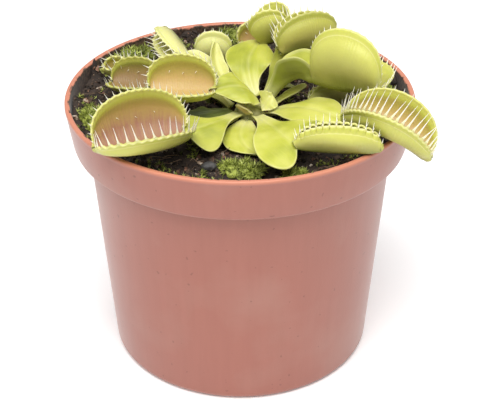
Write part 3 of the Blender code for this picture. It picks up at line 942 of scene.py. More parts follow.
        # The lower face lies under the upper one by the leaf's thickness, and one loop of faces
        # closes the edge between them.
        grid, marks = self.sheet()
        rows, columns = grid.shape[:2]
        normal = unit(np.cross(np.gradient(grid, axis=0), np.gradient(grid, axis=1)))
        lower = grid - normal * marks["thick"][..., None]
        count = rows * columns
        top = np.arange(count).reshape(rows, columns)
        faces = quads(rows, columns) + quads(rows, columns, count, flip=True)
        loop = np.concatenate([top[:, -1], top[-1, -2::-1], top[-2::-1, 0], top[0, 1:-1]])
        after = np.roll(loop, -1)
        faces += np.stack([loop, after, after + count, loop + count], axis=1).tolist()
        points = np.concatenate([grid.reshape(-1, 3), lower.reshape(-1, 3)])
        stand = np.zeros((0, 11))
        if self.tip:
            stand = np.concatenate([self.bristles(sign, seed + sign) for sign in (1, -1)])
        double = {name: np.tile(values.reshape(count, -1), (2, 1)) for name, values in marks.items()}
        inner = np.repeat([1.0, 0.0], count)[:, None]
        blush = np.full((2 * count, 1), self.blush)
        stored = {
            "leaf_flow": (double["flow"], 0 * stand[:, :3]),
            "leaf_tone": (np.hstack([double["pale"], double["depth"], double["lip"]]), 0 * stand[:, :3]),
            "leaf_part": (np.hstack([inner, double["trap"], blush]), 0 * stand[:, :3]),
            "tooth_aim": (0 * points, stand[:, 3:6]),
            "tooth_side": (0 * points, stand[:, 6:9]),
            "tooth_size": (0 * points, stand[:, [10, 10, 9]] * (MM, 0.62 * MM, MM)),
        }
        marked = {name: np.concatenate(pair) for name, pair in stored.items()}
        mesh = mesh_of(self.node, np.concatenate([points, stand[:, :3]]), faces, marked)
        mesh.materials.append(material_of(self.age.value[1]))
        piece = shown(mesh, f"{self.node}_grown")
        return teeth.grow(piece) if self.tip else piece


def tooth_tree(rings: int = 7, sides: int = 6) -> Grower:
    """The tree that grows a flat-footed, tapering tooth on each root of a leaf.

    Args:
        rings: Points along a tooth.
        sides: Points round it.

    Returns:
        The tree.
    """
    grower = Grower("leaf_teeth", {"Rings": rings, "Sides": sides, "Bristle": material_of(TOOTH)})
    height = grower.add("GeometryNodeSplineParameter")
    free = grower.add(MATH, {0: 1.0, 1: height}, operation="SUBTRACT")
    root = grower.add(MATH, {0: free, 1: 7.0}, operation="POWER")
    shaft = grower.add(MATH, {0: free, 1: 0.44, 2: 0.1}, operation="MULTIPLY_ADD")
    radius = grower.add(MATH, {0: root, 1: 0.9, 2: shaft}, operation="MULTIPLY_ADD")
    bow = grower.add(MATH, {0: height, 1: 2.0}, operation="POWER")
    bow = grower.add(MATH, {0: bow, 1: 0.6}, operation="MULTIPLY")
    bend = grower.add(COMBINE, {1: bow})
    strand = grower.strand(grower.given["Rings"], grower.given["Sides"], radius, bend)
    up = grower.add("ShaderNodeSeparateXYZ", {0: grower.add("GeometryNodeInputPosition")})
    tall = {"Geometry": strand, "Name": "tooth_height", "Value": up.node.outputs["Z"]}
    strand = grower.add("GeometryNodeStoreNamedAttribute", tall)
    names = ("tooth_aim", "tooth_side", "tooth_size")
    aim, side, size = (grower.add(STORED, {"Name": name}, data_type="FLOAT_VECTOR") for name in names)
    long = grower.add(VECTOR_MATH, {0: size}, operation="LENGTH").node.outputs["Value"]
    rooted = grower.add("FunctionNodeCompare", {0: long, 1: 1e-6}, operation="GREATER_THAN")
    axes = {"primary_axis": "Z", "secondary_axis": "X"}
    turn = grower.add("FunctionNodeAxesToRotation", {0: aim, 1: side}, **axes)
    leaf = grower.given["Geometry"]
    links = {"Points": leaf, "Selection": rooted, "Instance": strand, "Rotation": turn, "Scale": size}
    row = grower.add(INSTANCES, links)
    leaf = grower.add("GeometryNodeDeleteGeometry", {0: leaf, 1: rooted})
    both = grower.add("GeometryNodeJoinGeometry", {0: leaf})
    grower.tree.links.new(row, both.node.inputs[0])
    grower.end(both, "Bristle", rooted)
    return grower


@dataclass(frozen=True)
class Pot:
    """The round nursery pot: a thin moulded cup with a collar, a ribbed lip and drain holes."""

    height: float = 72.5
    rim: float = 45.0
    collar: float = 11.5
    collar_foot: float = 43.3
    body_top: float = 39.6
    base: float = 34.8
    corner: float = 2.0
    wall: float = 1.4
    floor_middle: float = 15.0
    inner_corner: float = 3.4
    recess: float = 0.45
    holes: int = 8
    hole: float = 3.0
    hole_circle: float = 25.0
    hole_turn: float = 13.5
    steps: int = 240
    # The circle that the outline is swept round is this small, in metres, but not a point.
    axis: float = 1e-5

    # Small steps out and up: over the ribbed lip from the inner wall, down from the rim, round
    # the collar's foot, and from the ledge into the body.
    LIP = ((0.08, -0.3), (0.3, -0.05), (0.5, -0.12), (0.68, 0), (0.88, -0.1), (1.08, -0.02), (1.28, -0.16))
    EDGE = ((0, -0.4), (0.02, -0.9), (-0.1, -1.15), (-0.14, -1.5))
    COLLAR_FOOT = ((0.9, 5.5), (0.15, 0.9), (0, 0.45), (-0.12, 0.12), (-0.4, 0))
    SHOULDER = ((0.5, 0), (0.12, -0.1), (-0.02, -0.5))

    def outline(self) -> np.ndarray:
        """The wall's outline, from the inner middle over the lip to the outer middle.

        Returns:
            Radius and height of each point.
        """
        ledge = self.height - self.collar

        def body(height: float) -> float:
            """The body's outer radius at a height."""
            return self.base + (self.body_top - self.base) * height / ledge

        def steps(radius: float, height: float, moves: tuple) -> list[tuple[float, float]]:
            """Points at small steps from a place."""
            return [(radius + out, height + up) for out, up in moves]

        heel = body(self.corner)
        arc = ((1 - math.cos(bend), 1 - math.sin(bend)) for bend in np.linspace(0, math.pi / 2, 7))
        corner = [(heel - self.corner * back, self.corner * down) for back, down in arc]
        inner = self.rim - self.wall
        bulge = self.collar_foot - self.wall
        fillet = body(self.inner_corner) - self.wall
        hollow = self.body_top - self.wall
        over = ledge + self.wall
        foot = self.base - self.corner - 2.5
        return np.array([
            # The floor and the inside of the body.
            (0, self.wall), (self.floor_middle, self.wall), (body(self.wall) - self.wall - 2, self.wall),
            (fillet - 0.5, self.wall + 0.6), (fillet, self.inner_corner), (hollow, ledge + 0.6),
            # The ledge, the inside of the collar and the lip.
            (hollow + 0.6, over), (bulge - 0.6, over), (bulge, over + 0.7),
            (inner - 0.12, self.height - 4), (inner, self.height - 0.8),
            *steps(inner, self.height, self.LIP),
            # The outside of the collar and the body, and the recess under the foot.
            *steps(self.rim, self.height, self.EDGE), *steps(self.collar_foot, ledge, self.COLLAR_FOOT),
            *steps(self.body_top, ledge, self.SHOULDER),
            (body(ledge * 0.66), ledge * 0.66), (body(ledge * 0.33), ledge * 0.33), *corner,
            (foot, 0), (foot - 0.6, self.recess), (self.floor_middle, self.recess), (0, self.recess),
        ])

    def build(self) -> bpy.types.Object:
        """Turns the outline round the upright axis and cuts the drain holes.

        Returns:
            The finished pot.
        """
        sizes = {
            "Steps": self.steps, "Holes": self.holes, "Hole radius": self.hole * MM,
            "Hole circle": self.hole_circle * MM, "Hole turn": math.radians(self.hole_turn),
            "Plastic": material_of(PLASTIC),
        }
        lathe = Grower("turned_pot", sizes)
        given = lathe.given
        profile = lathe.add("GeometryNodeMeshToCurve", {0: given["Geometry"]})
        ring = lathe.add(CIRCLE, {"Resolution": given["Steps"], "Radius": self.axis})
        cup = lathe.add("GeometryNodeCurveToMesh", {"Curve": ring, "Profile Curve": profile})
        cup = lathe.add("GeometryNodeMergeByDistance", {"Geometry": cup, "Distance": 2e-6})
        holes = lathe.add(CIRCLE, {"Resolution": given["Holes"], "Radius": given["Hole circle"]})
        turn = lathe.add(COMBINE, {2: given["Hole turn"]})
        turn = lathe.add(TURN, {0: turn})
        holes = lathe.add("GeometryNodeTransform", {"Geometry": holes, "Rotation": turn})
        drill = {"Vertices": 32, "Radius": given["Hole radius"], "Depth": 0.01}
        drill = lathe.add("GeometryNodeMeshCylinder", drill)
        drills = lathe.add(INSTANCES, {"Points": holes, "Instance": drill})
        drills = lathe.add(REALIZE, {0: drills})
        cut = {"operation": "DIFFERENCE", "solver": "EXACT"}
        cup = lathe.add("GeometryNodeMeshBoolean", {"Mesh 1": cup, "Mesh 2": drills}, **cut)
        lathe.end(lathe.add("GeometryNodeSetShadeSmooth", {0: cup}), "Plastic")
        line = self.outline()
        mesh = bpy.data.meshes.new("pot_outline")
        places = [(radius * MM - self.axis, -height * MM, 0.0) for radius, height in line]
        mesh.from_pydata(places, [(step, step + 1) for step in range(len(places) - 1)], [])
        mark(mesh, "wall_inside", np.arange(len(line)) < np.argmax(line[:, 1]))
        return lathe.grow(shown(mesh, "pot_moulded"))


@dataclass(frozen=True)
class Soil:
    """The peat bed that fills the pot, with crumbs, fibres and grit strewn over it.

    Each of heaps is dirt piled against the wall: the direction it lies in and how far it spreads,
    in degrees, and its height.
    """

    pot: Pot
    below_rim: float = 5.2
    mound: float = 0.8
    lump: float = 0.25
    bank: float = 1.6
    bank_towards: tuple[float, float] = (-0.5, 0.87)
    banked: float = 3.0
    heaps: tuple[tuple[float, float, float], ...] = ((148.0, 10.0, 5.5), (92.5, 3.0, 4.0), (18.0, 7.0, 3.0))
    radius: float = 43.1
    rings: int = 120
    steps: int = 280

    # Radius and height of the rings under the bed, from the collar down to the pot's floor.
    UNDER = ((40.9, 66.0), (37.9, 60.4), (33.6, 5.0), (31.5, 1.7), (0.01, 1.65))

    def height(self, x: np.ndarray, y: np.ndarray) -> np.ndarray:
        """Height of the bed at places in the pot.

        Args:
            x: Places to the right.
            y: Places to the back.

        Returns:
            The heights.
        """
        edge = self.pot.height - self.below_rim
        mound = self.mound * (1 - (np.hypot(x, y) / self.pot.rim) ** 2)
        waves = np.sin(0.42 * x + 1.0) * np.cos(0.38 * y) + np.sin(0.23 * x - 0.31 * y)
        towards = np.maximum(x * self.bank_towards[0] + y * self.bank_towards[1], 0) / self.pot.rim
        return edge + mound + self.lump * waves + self.bank * towards**2

    def top(self) -> np.ndarray:
        """The rough upper face, ring by ring from the middle.

        Returns:
            A grid of points.
        """
        radius = np.linspace(0.01, self.radius, self.rings)[:, None]
        angle = np.linspace(0, 2 * math.pi, self.steps, endpoint=False)[None]
        x, y = radius * np.cos(angle), radius * np.sin(angle)
        flat = np.stack([x, y, 0 * x], axis=-1)
        # Clods, crumbs and grains, and the dirt that lies against the wall.
        rough = 0.7 * lumps(flat, 3.1, 1) + 0.45 * lumps(flat, 1.3, 2) + 0.25 * lumps(flat, 0.6, 3)
        wall = self.banked * eased(radius, self.radius - 4.5, self.radius) * (0.35 + lumps(flat, 5.0, 4))
        for towards, spread, height in self.heaps:
            heap = height * np.exp(-(((np.degrees(angle) - towards) / spread) ** 2))
            heap = heap * eased(radius, self.radius - 3, self.radius)
            wall = wall + heap * (0.4 + lumps(flat, 2.5, 6))
        return np.stack([x, y, self.height(x, y) + rough - 0.35 + wall], axis=-1)

    def build(self) -> bpy.types.Object:
        """The bed as one closed piece.

        Returns:
            The finished bed.
        """
        angle = np.linspace(0, 2 * math.pi, self.steps, endpoint=False)
        circle = np.stack([np.cos(angle), np.sin(angle), 0 * angle], axis=-1)
        below = [radius * circle + (0, 0, height) for radius, height in self.UNDER]
        rings = np.concatenate([self.top(), np.array(below)])
        rings = np.concatenate([rings, rings[:, :1]], axis=1)
        faces = quads(*rings.shape[:2])
        shade = 0.28 + 0.25 * lumps(rings.reshape(-1, 3), 4.0, 5)
        mesh = mesh_of("peat_bed", rings.reshape(-1, 3), faces, {"piece_shade": shade})
        welded(mesh)
        mesh.materials.append(material_of(PEAT))
        return shown(mesh, "potting_soil_bed")

    def ground(self, density: Callable) -> bpy.types.Mesh:
        """A rough sheet over the bed, which things are strewn on.

        Args:
            density: A function of the points, giving how thickly they lie.

        Returns:
            The sheet.
        """
        # Every other ring and step is fine enough to strew on.
        top = self.top()[2::2, ::2]
        top = np.concatenate([top, top[:, :1]], axis=1)
        places = top.reshape(-1, 3)
        return mesh_of("soil_ground", places, quads(*top.shape[:2]), {"density": density(places)})


def welded(mesh: bpy.types.Mesh, reach: float = 2e-5) -> None:
    """Merges the points that lie together and turns the faces outwards.

    Args:
        mesh: The mesh, which is changed.
        reach: The gap that still counts as together, in metres.
    """
    work = bmesh.new()
    work.from_mesh(mesh)
    bmesh.ops.remove_doubles(work, verts=work.verts, dist=reach)
    bmesh.ops.recalc_face_normals(work, faces=work.faces)
    work.to_mesh(mesh)
    work.free()


@dataclass(frozen=True)
class Strewing:
    """Small things of one kind, strewn over a sheet by Geometry Nodes.

    count is how many lie on a square centimetre at density 1. Sizes run from small to large, with
    many more of the small ones.
    """

    name: str
    finish: Finish
    count: float
    small: float
    large: float
    seed: int

    # A whole turn, in radians.
    ROUND = 6.28

    def base(self) -> tuple[Grower, bpy.types.NodeSocket, bpy.types.NodeSocket]:
        """Starts the tree with its points and their sizes.

        Returns:
            The tree, the points' node, and each point's size in metres.
        """
        sizes = {
            "Count": self.count * 1e4, "Small": self.small * MM, "Large": self.large * MM,
            "Seed": self.seed, "Finish": material_of(self.finish),
        }
        grower = Grower(self.name, sizes)
        links = {"Mesh": grower.given["Geometry"], "Seed": grower.given["Seed"]}
        thick = grower.add(STORED, {"Name": "density"}, data_type="FLOAT")
        links["Density"] = grower.add(MATH, {0: thick, 1: grower.given["Count"]}, operation="MULTIPLY")
        points = grower.add("GeometryNodeDistributePointsOnFaces", links)
        chance = grower.add(RANDOM, {2: 0.0, 3: 1.0, "Seed": self.seed + 1}, data_type="FLOAT")
        chance = grower.add(MATH, {0: chance, 1: 3.0}, operation="POWER")
        size = grower.add(RANGE, {0: chance, 3: grower.given["Small"], 4: grower.given["Large"]})
        return grower, points, size

    def any_turn(self, grower: Grower, low: tuple, high: tuple) -> bpy.types.NodeSocket:
        """A random turn for each point.

        Args:
            grower: The tree.
            low: The least turn round each axis, in radians.
            high: The greatest.

        Returns:
            The turn.
        """
        turn = grower.add(RANDOM, {0: low, 1: high, "Seed": self.seed + 2}, data_type="FLOAT_VECTOR")
        return grower.add(TURN, {0: turn})

    def finish_tree(self, grower: Grower, points: bpy.types.NodeSocket, links: dict) -> Grower:
        """Sets the things on the points, with a shade of its own for each.

        Args:
            grower: The tree.
            points: Where they lie.
            links: Their shape, turn and scale.

        Returns:
            The closed tree.
        """
        strewn = grower.add(INSTANCES, {"Points": points, **links})
        shade = grower.add(RANDOM, {2: 0.0, 3: 1.0, "Seed": self.seed + 9}, data_type="FLOAT")
        marked = {"Geometry": strewn, "Name": "piece_shade", "Value": shade}
        strewn = grower.add("GeometryNodeStoreNamedAttribute", marked, domain="INSTANCE")
        grower.end(strewn, "Finish")
        return grower

    def crumbs(self) -> Grower:
        """The tree for rough crumbs, flattened and turned every way.

        Returns:
            The closed tree.
        """
        grower, points, size = self.base()
        ball = grower.add("GeometryNodeMeshIcoSphere", {"Radius": 0.5, "Subdivisions": 1})
        rough = grower.wobble(Scale=2.3, Detail=1.0)
        ball = grower.add("GeometryNodeSetPosition", {"Geometry": ball, "Offset": rough})
        turn = self.any_turn(grower, (0.0, 0.0, 0.0), (self.ROUND, self.ROUND, self.ROUND))
        shape = {0: (0.7, 0.5, 0.35), 1: (1.4, 1.0, 0.9), "Seed": self.seed + 3}
        shape = grower.add(RANDOM, shape, data_type="FLOAT_VECTOR")
        shape = grower.add(VECTOR_MATH, {0: shape, "Scale": size}, operation="SCALE")
        return self.finish_tree(grower, points, {"Instance": ball, "Rotation": turn, "Scale": shape})

    def fibres(self, thick: float) -> Grower:
        """The tree for bent fibres that lie nearly flat.

        Args:
            thick: A fibre's thickness as a share of its length.

        Returns:
            The closed tree.
        """
        grower, points, size = self.base()
        height = grower.add("GeometryNodeSplineParameter")
        taper = grower.add(RANGE, {0: height, 3: 0.5 * thick, 4: 0.25 * thick})
        strand = grower.strand(6, 4, taper, grower.wobble(Scale=2.0))
        turn = self.any_turn(grower, (1.25, 0.0, 0.0), (1.75, 0.0, self.ROUND))
        return self.finish_tree(grower, points, {"Instance": strand, "Rotation": turn, "Scale": size})

    def shoots(self, leaves: int) -> Grower:
        """The tree for moss shoots: a star of small pointed leaves on each stem.

        Args:
            leaves: Leaves in a star.

        Returns:
            The closed tree.
        """
        grower, points, size = self.base()
        cone = {"Vertices": 3, "Radius Top": 0.0, "Radius Bottom": 0.13, "Depth": 1.0}
        blade = grower.add("GeometryNodeMeshCone", cone)
        ring = grower.add("GeometryNodeMeshLine", {"Count": leaves, "Offset": (0.0, 0.0, 0.055)})
        number = grower.add("GeometryNodeInputIndex")
        # Each leaf stands 137.5 degrees round from the last, as on most plants.
        yaw = grower.add(MATH, {0: number, 1: 2.4}, operation="MULTIPLY")
        lean = grower.add(MATH, {0: number, 1: -1.15 / leaves, 2: 1.45}, operation="MULTIPLY_ADD")
        turn = grower.add(TURN, {0: grower.add(COMBINE, {1: lean, 2: yaw})})
        star = grower.add(INSTANCES, {"Points": ring, "Instance": blade, "Rotation": turn})
        star = grower.add(REALIZE, {0: star})
        spin = self.any_turn(grower, (-0.35, -0.35, 0.0), (0.35, 0.35, self.ROUND))
        upright = {0: points.node.outputs["Rotation"], 1: spin}
        turn = grower.add("FunctionNodeRotateRotation", upright, rotation_space="LOCAL")
        return self.finish_tree(grower, points, {"Instance": star, "Rotation": turn, "Scale": size})


@dataclass(frozen=True)
class Clump:
    """Moss or a stone on the soil: its middle, length, width, height and turn."""

    node: str
    x: float
    y: float
    length: float
    width: float
    height: float
    turn: float = 0.0

    def dome(self, soil: Soil, rough: float, grain: float, sunk: float = 0.35) -> bpy.types.Mesh:
        """A rough rounded body, partly sunk in the soil.

        Args:
            soil: The bed that it stands on.
            rough: Depth of its unevenness as a share of its size.
            grain: Size of one lump.
            sunk: How much of its height is in the soil.

        Returns:
            The mesh.
        """
        work = bmesh.new()
        bmesh.ops.create_icosphere(work, subdivisions=5, radius=1)
        ball = np.array([vertex.co for vertex in work.verts])
        half = np.array((self.length, self.width, self.height)) / 2 * (1, 1, 1.15)
        swell = 1 + rough * lumps(ball * half, grain, len(self.node))
        swell += 0.5 * rough * lumps(ball * half, grain / 2.5, 7)
        place = turned(ball * half * swell[:, None], np.array((0.0, 0.0, 1.0)), self.turn)
        foot = float(soil.height(np.array(self.x), np.array(self.y)))
        place += (self.x, self.y, foot + self.height * (0.5 - sunk))
        for vertex, co in zip(work.verts, place * MM):
            vertex.co = co
        mesh = bpy.data.meshes.new(self.node)
        work.to_mesh(mesh)
        work.free()
        mesh.shade_smooth()
        mark(mesh, "density", np.clip(ball[:, 2] * 3, 0, 1))
        mark(mesh, "piece_shade", 0.45 + 0.35 * lumps(place, grain, 3))
        return mesh


@dataclass(frozen=True)
class Crown:
    """The short bulb that the leaves rise from, wrapped in pale overlapping leaf feet."""

    x: float = 2.5
    y: float = -3.0
    radius: float = 4.3
    top: float = 71.4
    foot: float = 62.5
    rings: int = 60
    steps: int = 96

    def build(self) -> bpy.types.Object:
        """The bulb as one closed, scaly body.

        Returns:
            The finished bulb.
        """
        rise = np.linspace(0, 1, self.rings)[:, None]
        angle = np.linspace(0, 2 * math.pi, self.steps + 1)[None]
        # Five leaf feet wrap round the bulb, each edge a groove that winds upwards.
        scale = np.abs(np.sin(2.5 * angle + 9 * rise)) ** 0.5
        body = self.radius * np.sin(math.pi * (0.08 + 0.9 * rise) ** 1.2) ** 0.55 * (0.84 + 0.16 * scale)
        body = body * eased(rise, 0.0, 0.06) * eased(rise, 1.0, 0.92)
        height = self.foot + (self.top - self.foot) * rise
        height = height + 0.5 * scale * eased(rise, 0.6, 1.0) * body / self.radius
        places = np.stack([self.x + body * np.cos(angle), self.y + body * np.sin(angle), height], -1)
        shade = 0.3 + 0.6 * (scale * np.ones_like(body)) * eased(rise, 0.2, 0.9)
        faces = quads(*places.shape[:2], flip=True)
        mesh = mesh_of("crown_bulb", places.reshape(-1, 3), faces, {"piece_shade": shade.ravel()})
        welded(mesh, 2e-6)
        mesh.materials.append(material_of(BULB))
        return shown(mesh, "crown_bulb")


@dataclass(frozen=True)
class Studio:
    """A plain white table under soft light, with the camera before it."""

    lens: float = 100.0
    camera_at: tuple[float, float, float] = (0.00255, -0.3194, 0.2355)
    tilt: float = 58.56
    world: float = 0.3
    table_glow: float = 0.12
    table_half: float = 1500.0
    table_height: float = -0.05

    # Each lamp's place and side in metres, and its power in watts. They aim at the leaves.
    LAMPS = {"soft_key": ((-0.06, -0.32, 0.75), 0.6, 8.0), "soft_fill": ((0.3, 0.35, 0.7), 0.5, 1.5)}
    AIM = (0.0, 0.0, 0.06)

    def build(self) -> None:
        """Lays the table and sets the lights and the camera."""
        table = bpy.data.materials.new("white_table_board")
        table.use_nodes = True
        tree = table.node_tree
        solid = add(tree, "ShaderNodeTexCoord").node.outputs["Object"]
        grain = add(tree, NOISE, {"Vector": solid, "Scale": 40.0})
        colour = add(tree, RAMP, {0: grain}, ((0.0, "fafafa"), (1.0, "ffffff")))
        shader = tree.nodes["Principled BSDF"]
        tree.links.new(colour, shader.inputs["Base Color"])
        shader.inputs["Roughness"].default_value = 0.9
        shader.inputs["Emission Color"].default_value = (1, 1, 1, 1)
        shader.inputs["Emission Strength"].default_value = self.table_glow
        corners = np.array([(-1, -1), (1, -1), (1, 1), (-1, 1)]) * self.table_half
        corners = np.column_stack([corners, np.full(4, self.table_height)])
        floor = shown(mesh_of("table", corners, [[0, 1, 2, 3]]), "table")
        floor.data.materials.append(table)
        scene = bpy.context.scene
        scene.world = bpy.data.worlds.new("white_room")
        scene.world.use_nodes = True
        scene.world.node_tree.nodes["Background"].inputs[0].default_value = (1, 1, 1, 1)
        scene.world.node_tree.nodes["Background"].inputs[1].default_value = self.world
        scene.view_settings.view_transform = "Standard"
        for name, (place, size, power) in self.LAMPS.items():
            self.lamp(name, place, size, power)
        camera = bpy.data.objects.new("camera", bpy.data.cameras.new("camera"))
        camera.data.lens = self.lens
        camera.data.sensor_width = 36.0
        camera.location = self.camera_at
        camera.rotation_euler = Euler((math.radians(self.tilt), 0, 0))
        scene.collection.objects.link(camera)
        scene.camera = camera

    def lamp(self, name: str, place: tuple[float, float, float], size: float, power: float) -> None:
        """Hangs a square soft light that faces the plant.

        Args:
            name: Its name.
            place: Where it hangs, in metres.
            size: Its side, in metres.
            power: Its power in watts.
        """
        light = bpy.data.lights.new(name, "AREA")
        light.energy, light.size = power, size
        lamp = bpy.data.objects.new(name, light)
        lamp.location = place
        aim = Vector(self.AIM) - Vector(place)
        lamp.rotation_euler = aim.to_track_quat("-Z", "Y").to_euler()
        bpy.context.scene.collection.objects.link(lamp)


SHORT = Teeth(1.2, 0.0, 0.0, 1.6, 0.2)
LEAVES = (
    Leaf("leaf_front_left", (-0.2, -6.8, 70.6), (-7.5, -19.0, 74.0), (-13.0, -24.8, 75.0),
         (-33.5, -34.0, 75.5), width=15, peak=0.74, foot=3.0, roll=-25, cup=-0.2, depth=12,
         face=-21, spread=32, bulge=0.27, sag=0.5, blush=0.9,
         plus=Teeth(5.8, 0.05, 0.28, 1.75, 0.7), minus=Teeth(2.2, -0.5, 0.3, 1.5, 0.4)),
    Leaf("leaf_mid_left", (3.9, -2.6, 72.6), (0.4, -5.6, 77.6), (-6.5, -9.0, 78.0),
         (-22.5, -6.0, 77.0), width=11.5, peak=0.45, foot=4.4, roll=-40, cup=-0.2, depth=9.2,
         face=-31, spread=33, blush=0.35,
         plus=Teeth(2.0, 0.2, 0.2, 1.6, 0.3), minus=Teeth(2.4, -0.5, 0.5, 1.5, 0.35)),
    Leaf("leaf_small_left", (-2.4, -2.7, 69.9), (-10.0, -1.6, 75.3), (-20.5, 0.0, 75.0),
         (-33.0, 4.5, 73.5), roll=-20, depth=7, face=-28, spread=36, age=Age.OLD, blush=0.6,
         plus=Teeth(3.0, 0.3, 0.0, 1.8), minus=Teeth(2.0, -0.5, 0.0, 1.6, 0.3)),
    Leaf("leaf_far_left", (-2.1, -0.4, 69.5), (-17.5, 9.2, 73.0), (-29.5, 11.5, 72.5),
         (-35.5, 10.5, 74.5), width=4, roll=-20, depth=4.5, face=-35, blush=0.2,
         plus=Teeth(4.2, -0.2, 0.5, 1.3, 0.3), minus=Teeth(3.8, -0.4, 0.5, 1.3, 0.3)),
    Leaf("leaf_back_narrow", (-1.1, 2.1, 70.1), (-9.0, 9.8, 75.8), (-14.7, 12.3, 77.0),
         (-20.5, 24.5, 78.8), roll=-60, depth=5.6, face=-80, spread=12, age=Age.YOUNG, blush=0.0,
         plus=Teeth(3.0, 0.0, 0.0, 1.5, 0.3), minus=Teeth(2.4, 0.0, 0.0, 1.5, 0.3)),
    Leaf("leaf_back_pale", (1.4, 0.3, 70.9), (-1.6, 9.3, 73.0), (-3.9, 16.8, 73.9),
         (-11.4, 16.7, 75.1), roll=10, depth=8.5, face=25, age=Age.YOUNG, blush=0.0,
         plus=Teeth(0.9, -0.6, 0.0, 1.7, 0.1), minus=Teeth(1.4, 0.5, 0.0, 1.7, 0.15)),
    Leaf("leaf_back_small", (2.5, 1.9, 69.5), (3.2, 12.0, 73.0), (0.2, 23.0, 75.4),
         (7.4, 25.0, 76.8), depth=6, face=34, spread=30, blush=0.45,
         plus=SHORT, minus=SHORT),
    Leaf("leaf_back_tall", (4.1, 0.6, 71.4), (2.2, 8.4, 77.5), (5.5, 17.0, 79.5),
         (13.2, 15.6, 84.0), width=13.4, peak=0.66, foot=2.4, depth=9, face=-10, blush=0.1,
         plus=Teeth(2.0, -0.3, 0.0, 1.5, 0.15), minus=Teeth(2.6, 0.0, 0.2, 1.5, 0.2)),
    Leaf("leaf_back_closed", (6.0, -0.1, 70.8), (9.9, 5.5, 77.2), (10.5, 5.6, 82.0),
         (24.5, 10.0, 84.0), width=6, depth=9, face=-22, spread=14, age=Age.OLD, blush=0.0,
         plus=Teeth(3.2, -0.2, 0.0, 1.5, 0.2), minus=Teeth(2.4, 0.4, 0.0, 1.6, 0.2)),
    Leaf("leaf_right_large", (6.6, -2.4, 71.2), (12.6, -2.2, 79.0), (18.8, -6.4, 80.0),
         (33.5, -15.0, 81.0), width=8.5, peak=0.7, foot=2.6, roll=-15, cup=1.2, depth=14.5,
         face=-45, spread=32, fan=0.3, blush=0.0,
         plus=Teeth(2.4, 0.0, 0.0, 1.5, 0.25), minus=Teeth(1.3, -0.3, 0.0, 1.7, 0.1)),
    Leaf("leaf_right_open", (7.1, -5.4, 70.2), (16.0, -13.6, 75.8), (25.4, -20.2, 75.5),
         (45.4, -28.2, 69.8), width=13, foot=3.0, roll=15, depth=10, face=6, spread=27,
         bulge=0.26, sag=-1.9, blush=0.42,
         plus=Teeth(1.3, -0.5, 0.0, 2.0, 0.1), minus=Teeth(6.6, 0.05, 0.2, 1.3, 0.35)),
    Leaf("leaf_front_right", (4.3, -7.6, 70.3), (9.2, -24.4, 75.2), (13.5, -32.2, 75.4),
         (33.2, -31.6, 74.1), width=18.5, peak=0.72, foot=3.0, roll=17, cup=0.0, shoulder=-1.3, depth=6.0,
         face=0, spread=2, bulge=0.26, fan=0.1,
         plus=Teeth(3.6, -0.1, 0.0, 1.45, 0.24), minus=Teeth(3.2, -0.3, 0.0, 1.45, 0.24)),
    Leaf("leaf_front_low", (1.8, -8.4, 69.4), (0.4, -18.6, 70.2), (4.0, -25.4, 69.4),
         width=10, peak=0.5),
    Leaf("leaf_small_under", (-1.2, -7.2, 69.5), (-5.8, -14.8, 70.2), (-7.5, -21.2, 69.6),
         width=3.5, roll=-10),
    Leaf("leaf_shaded_left", (-2.2, -4.9, 70.4), (-8.0, -8.8, 71.5), (-14.0, -11.5, 71.4),
         width=7.4, peak=0.6, roll=-10, age=Age.SHADED),
    Leaf("leaf_young_round", (5.2, -7.3, 72.1), (6.6, -7.2, 74.2), (7.9, -6.4, 75.6),
         width=6.8, peak=0.55, roll=55, foot=2.2, age=Age.YOUNG),
    Leaf("leaf_pale_spear", (0.5, 0.1, 71.8), (-5.2, 6.3, 75.7), (-6.4, 12.6, 80.8),
         width=4.0, peak=0.6, foot=1.0, roll=10, cup=0.5, age=Age.YOUNG),
    Leaf("leaf_bud", (2.9, -7.6, 71.5), (1.4, -8.6, 73.2), (-0.5, -8.8, 74.4),
         width=3, peak=0.35, foot=2.0, age=Age.BUD),
    Leaf("leaf_narrow_back", (6.4, 0.4, 69.8), (10.0, 8.0, 71.0), (15.0, 7.5, 70.0),
         width=3, roll=20, age=Age.OLD),
    Leaf("leaf_rolled_right", (7.3, -1.9, 69.9), (12.5, 0.2, 72.6), (17.0, 3.0, 73.6),
         width=2.5, roll=20),
    Leaf("leaf_scalloped_right", (7.3, -4.0, 69.4), (14.0, -3.2, 70.1), (18.5, -2.7, 71.0),
         (27.0, 0.6, 70.8), width=3, roll=20, depth=5, face=-30, spread=12,
         plus=SHORT, minus=SHORT),
)
MOSS = (
    Clump("moss_front", 1.0, -32.4, 11.0, 6.5, 2.2, -15),
    Clump("moss_front_right", 13.4, -35.2, 8.0, 4.4, 1.6, 15),
    Clump("moss_left", -37.6, -6.0, 5.5, 10.0, 3.0, 10),
    Clump("moss_back_left", -29.6, 26.0, 6.4, 13.0, 5.0, -41),
    Clump("moss_back", -3.0, 39.4, 12.0, 3.6, 4.4, 4),
    Clump("moss_right", 38.0, 6.0, 4.5, 9.0, 2.2, 8),
)
STONES = {
    Clump("stone_grey", -7.2, -30.2, 4.0, 3.0, 2.0, 20): DARK_STONE,
    Clump("stone_flat", -17.0, -36.2, 3.4, 2.6, 1.2, -30): DARK_STONE,
    Clump("pebble_pale", 20.6, -33.6, 2.8, 2.4, 1.8, 40): PALE_STONE,
}


def loose(places: np.ndarray) -> np.ndarray:
    """How thickly crumbs lie: everywhere, thicker in patches and where dirt is heaped up."""
    return np.clip(0.8 + 0.8 * lumps(places, 6.0, 11) + 1.5 * eased(places[:, 2], 70.2, 71.4), 0.1, 3)


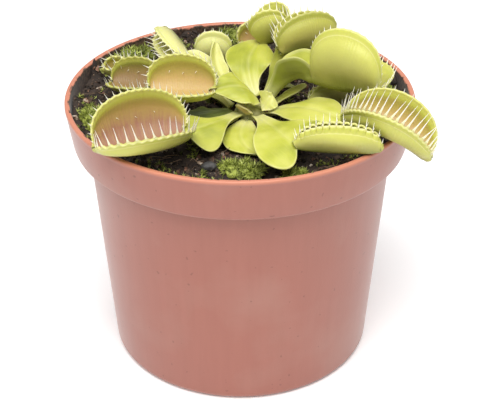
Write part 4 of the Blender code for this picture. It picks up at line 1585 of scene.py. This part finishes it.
def clear_of_wall(places: np.ndarray) -> np.ndarray:
    """How thickly fibres lie: none so near the wall that one would pass through it."""
    return loose(places) * (np.hypot(places[:, 0], places[:, 1]) < 38.5)


def in_patches(places: np.ndarray) -> np.ndarray:
    """How thickly stray moss grows: in patches, more of them in front and at the back left."""
    shady = eased(places[:, 1], -22, -32) + eased(places[:, 0] - places[:, 1], -22, -38)
    return np.clip(4 * (lumps(places, 4.0, 17) - 0.35 + 0.3 * shady), 0, 1)


def main() -> None:
    """Builds every piece in order."""
    logging.basicConfig(level=logging.INFO, format="%(message)s")
    Studio().build()
    pot = Pot()
    kept(pot.build(), "terracotta_plastic", "pot")
    soil = Soil(pot)
    kept(soil.build(), "peat", "potting_soil")
    strewings = (
        (Strewing("soil_crumbs", PEAT, 190.0, 0.3, 2.1, 3).crumbs(), "peat", loose),
        (Strewing("soil_fibres", TWIG, 16.0, 1.6, 7.0, 21).fibres(0.045), "peat", clear_of_wall),
        (Strewing("stray_moss", MOSS_LEAF, 38.0, 0.8, 1.9, 41).shoots(8), "moss", in_patches),
    )
    for tree, slot, density in strewings:
        kept(tree.grow(shown(soil.ground(density), tree.tree.name)), slot)
    shoots = Strewing("moss_shoots", MOSS_LEAF, 190.0, 0.9, 2.2, 31).shoots(9)
    for clump in MOSS:
        mound = clump.dome(soil, 0.22, 2.4)
        cushion = shown(mound, f"{clump.node}_cushion")
        cushion.data.materials.append(material_of(MOSS_LEAF))
        cover = shoots.grow(shown(mound.copy(), f"{clump.node}_shoots"))
        kept(cushion, "moss", clump.node)
        kept(cover, "moss")
    for clump, finish in STONES.items():
        stone = shown(clump.dome(soil, 0.16, 1.6), f"{clump.node}_worn")
        stone.data.materials.append(material_of(finish))
        kept(stone, "stone", clump.node)
    kept(Crown().build(), "leaf_bulb", "crown")
    teeth = tooth_tree()
    for seed, leaf in enumerate(LEAVES):
        kept(leaf.build(teeth, 10 * seed + 5), leaf.age.value[0], leaf.node)


if __name__ == "__main__":
    main()
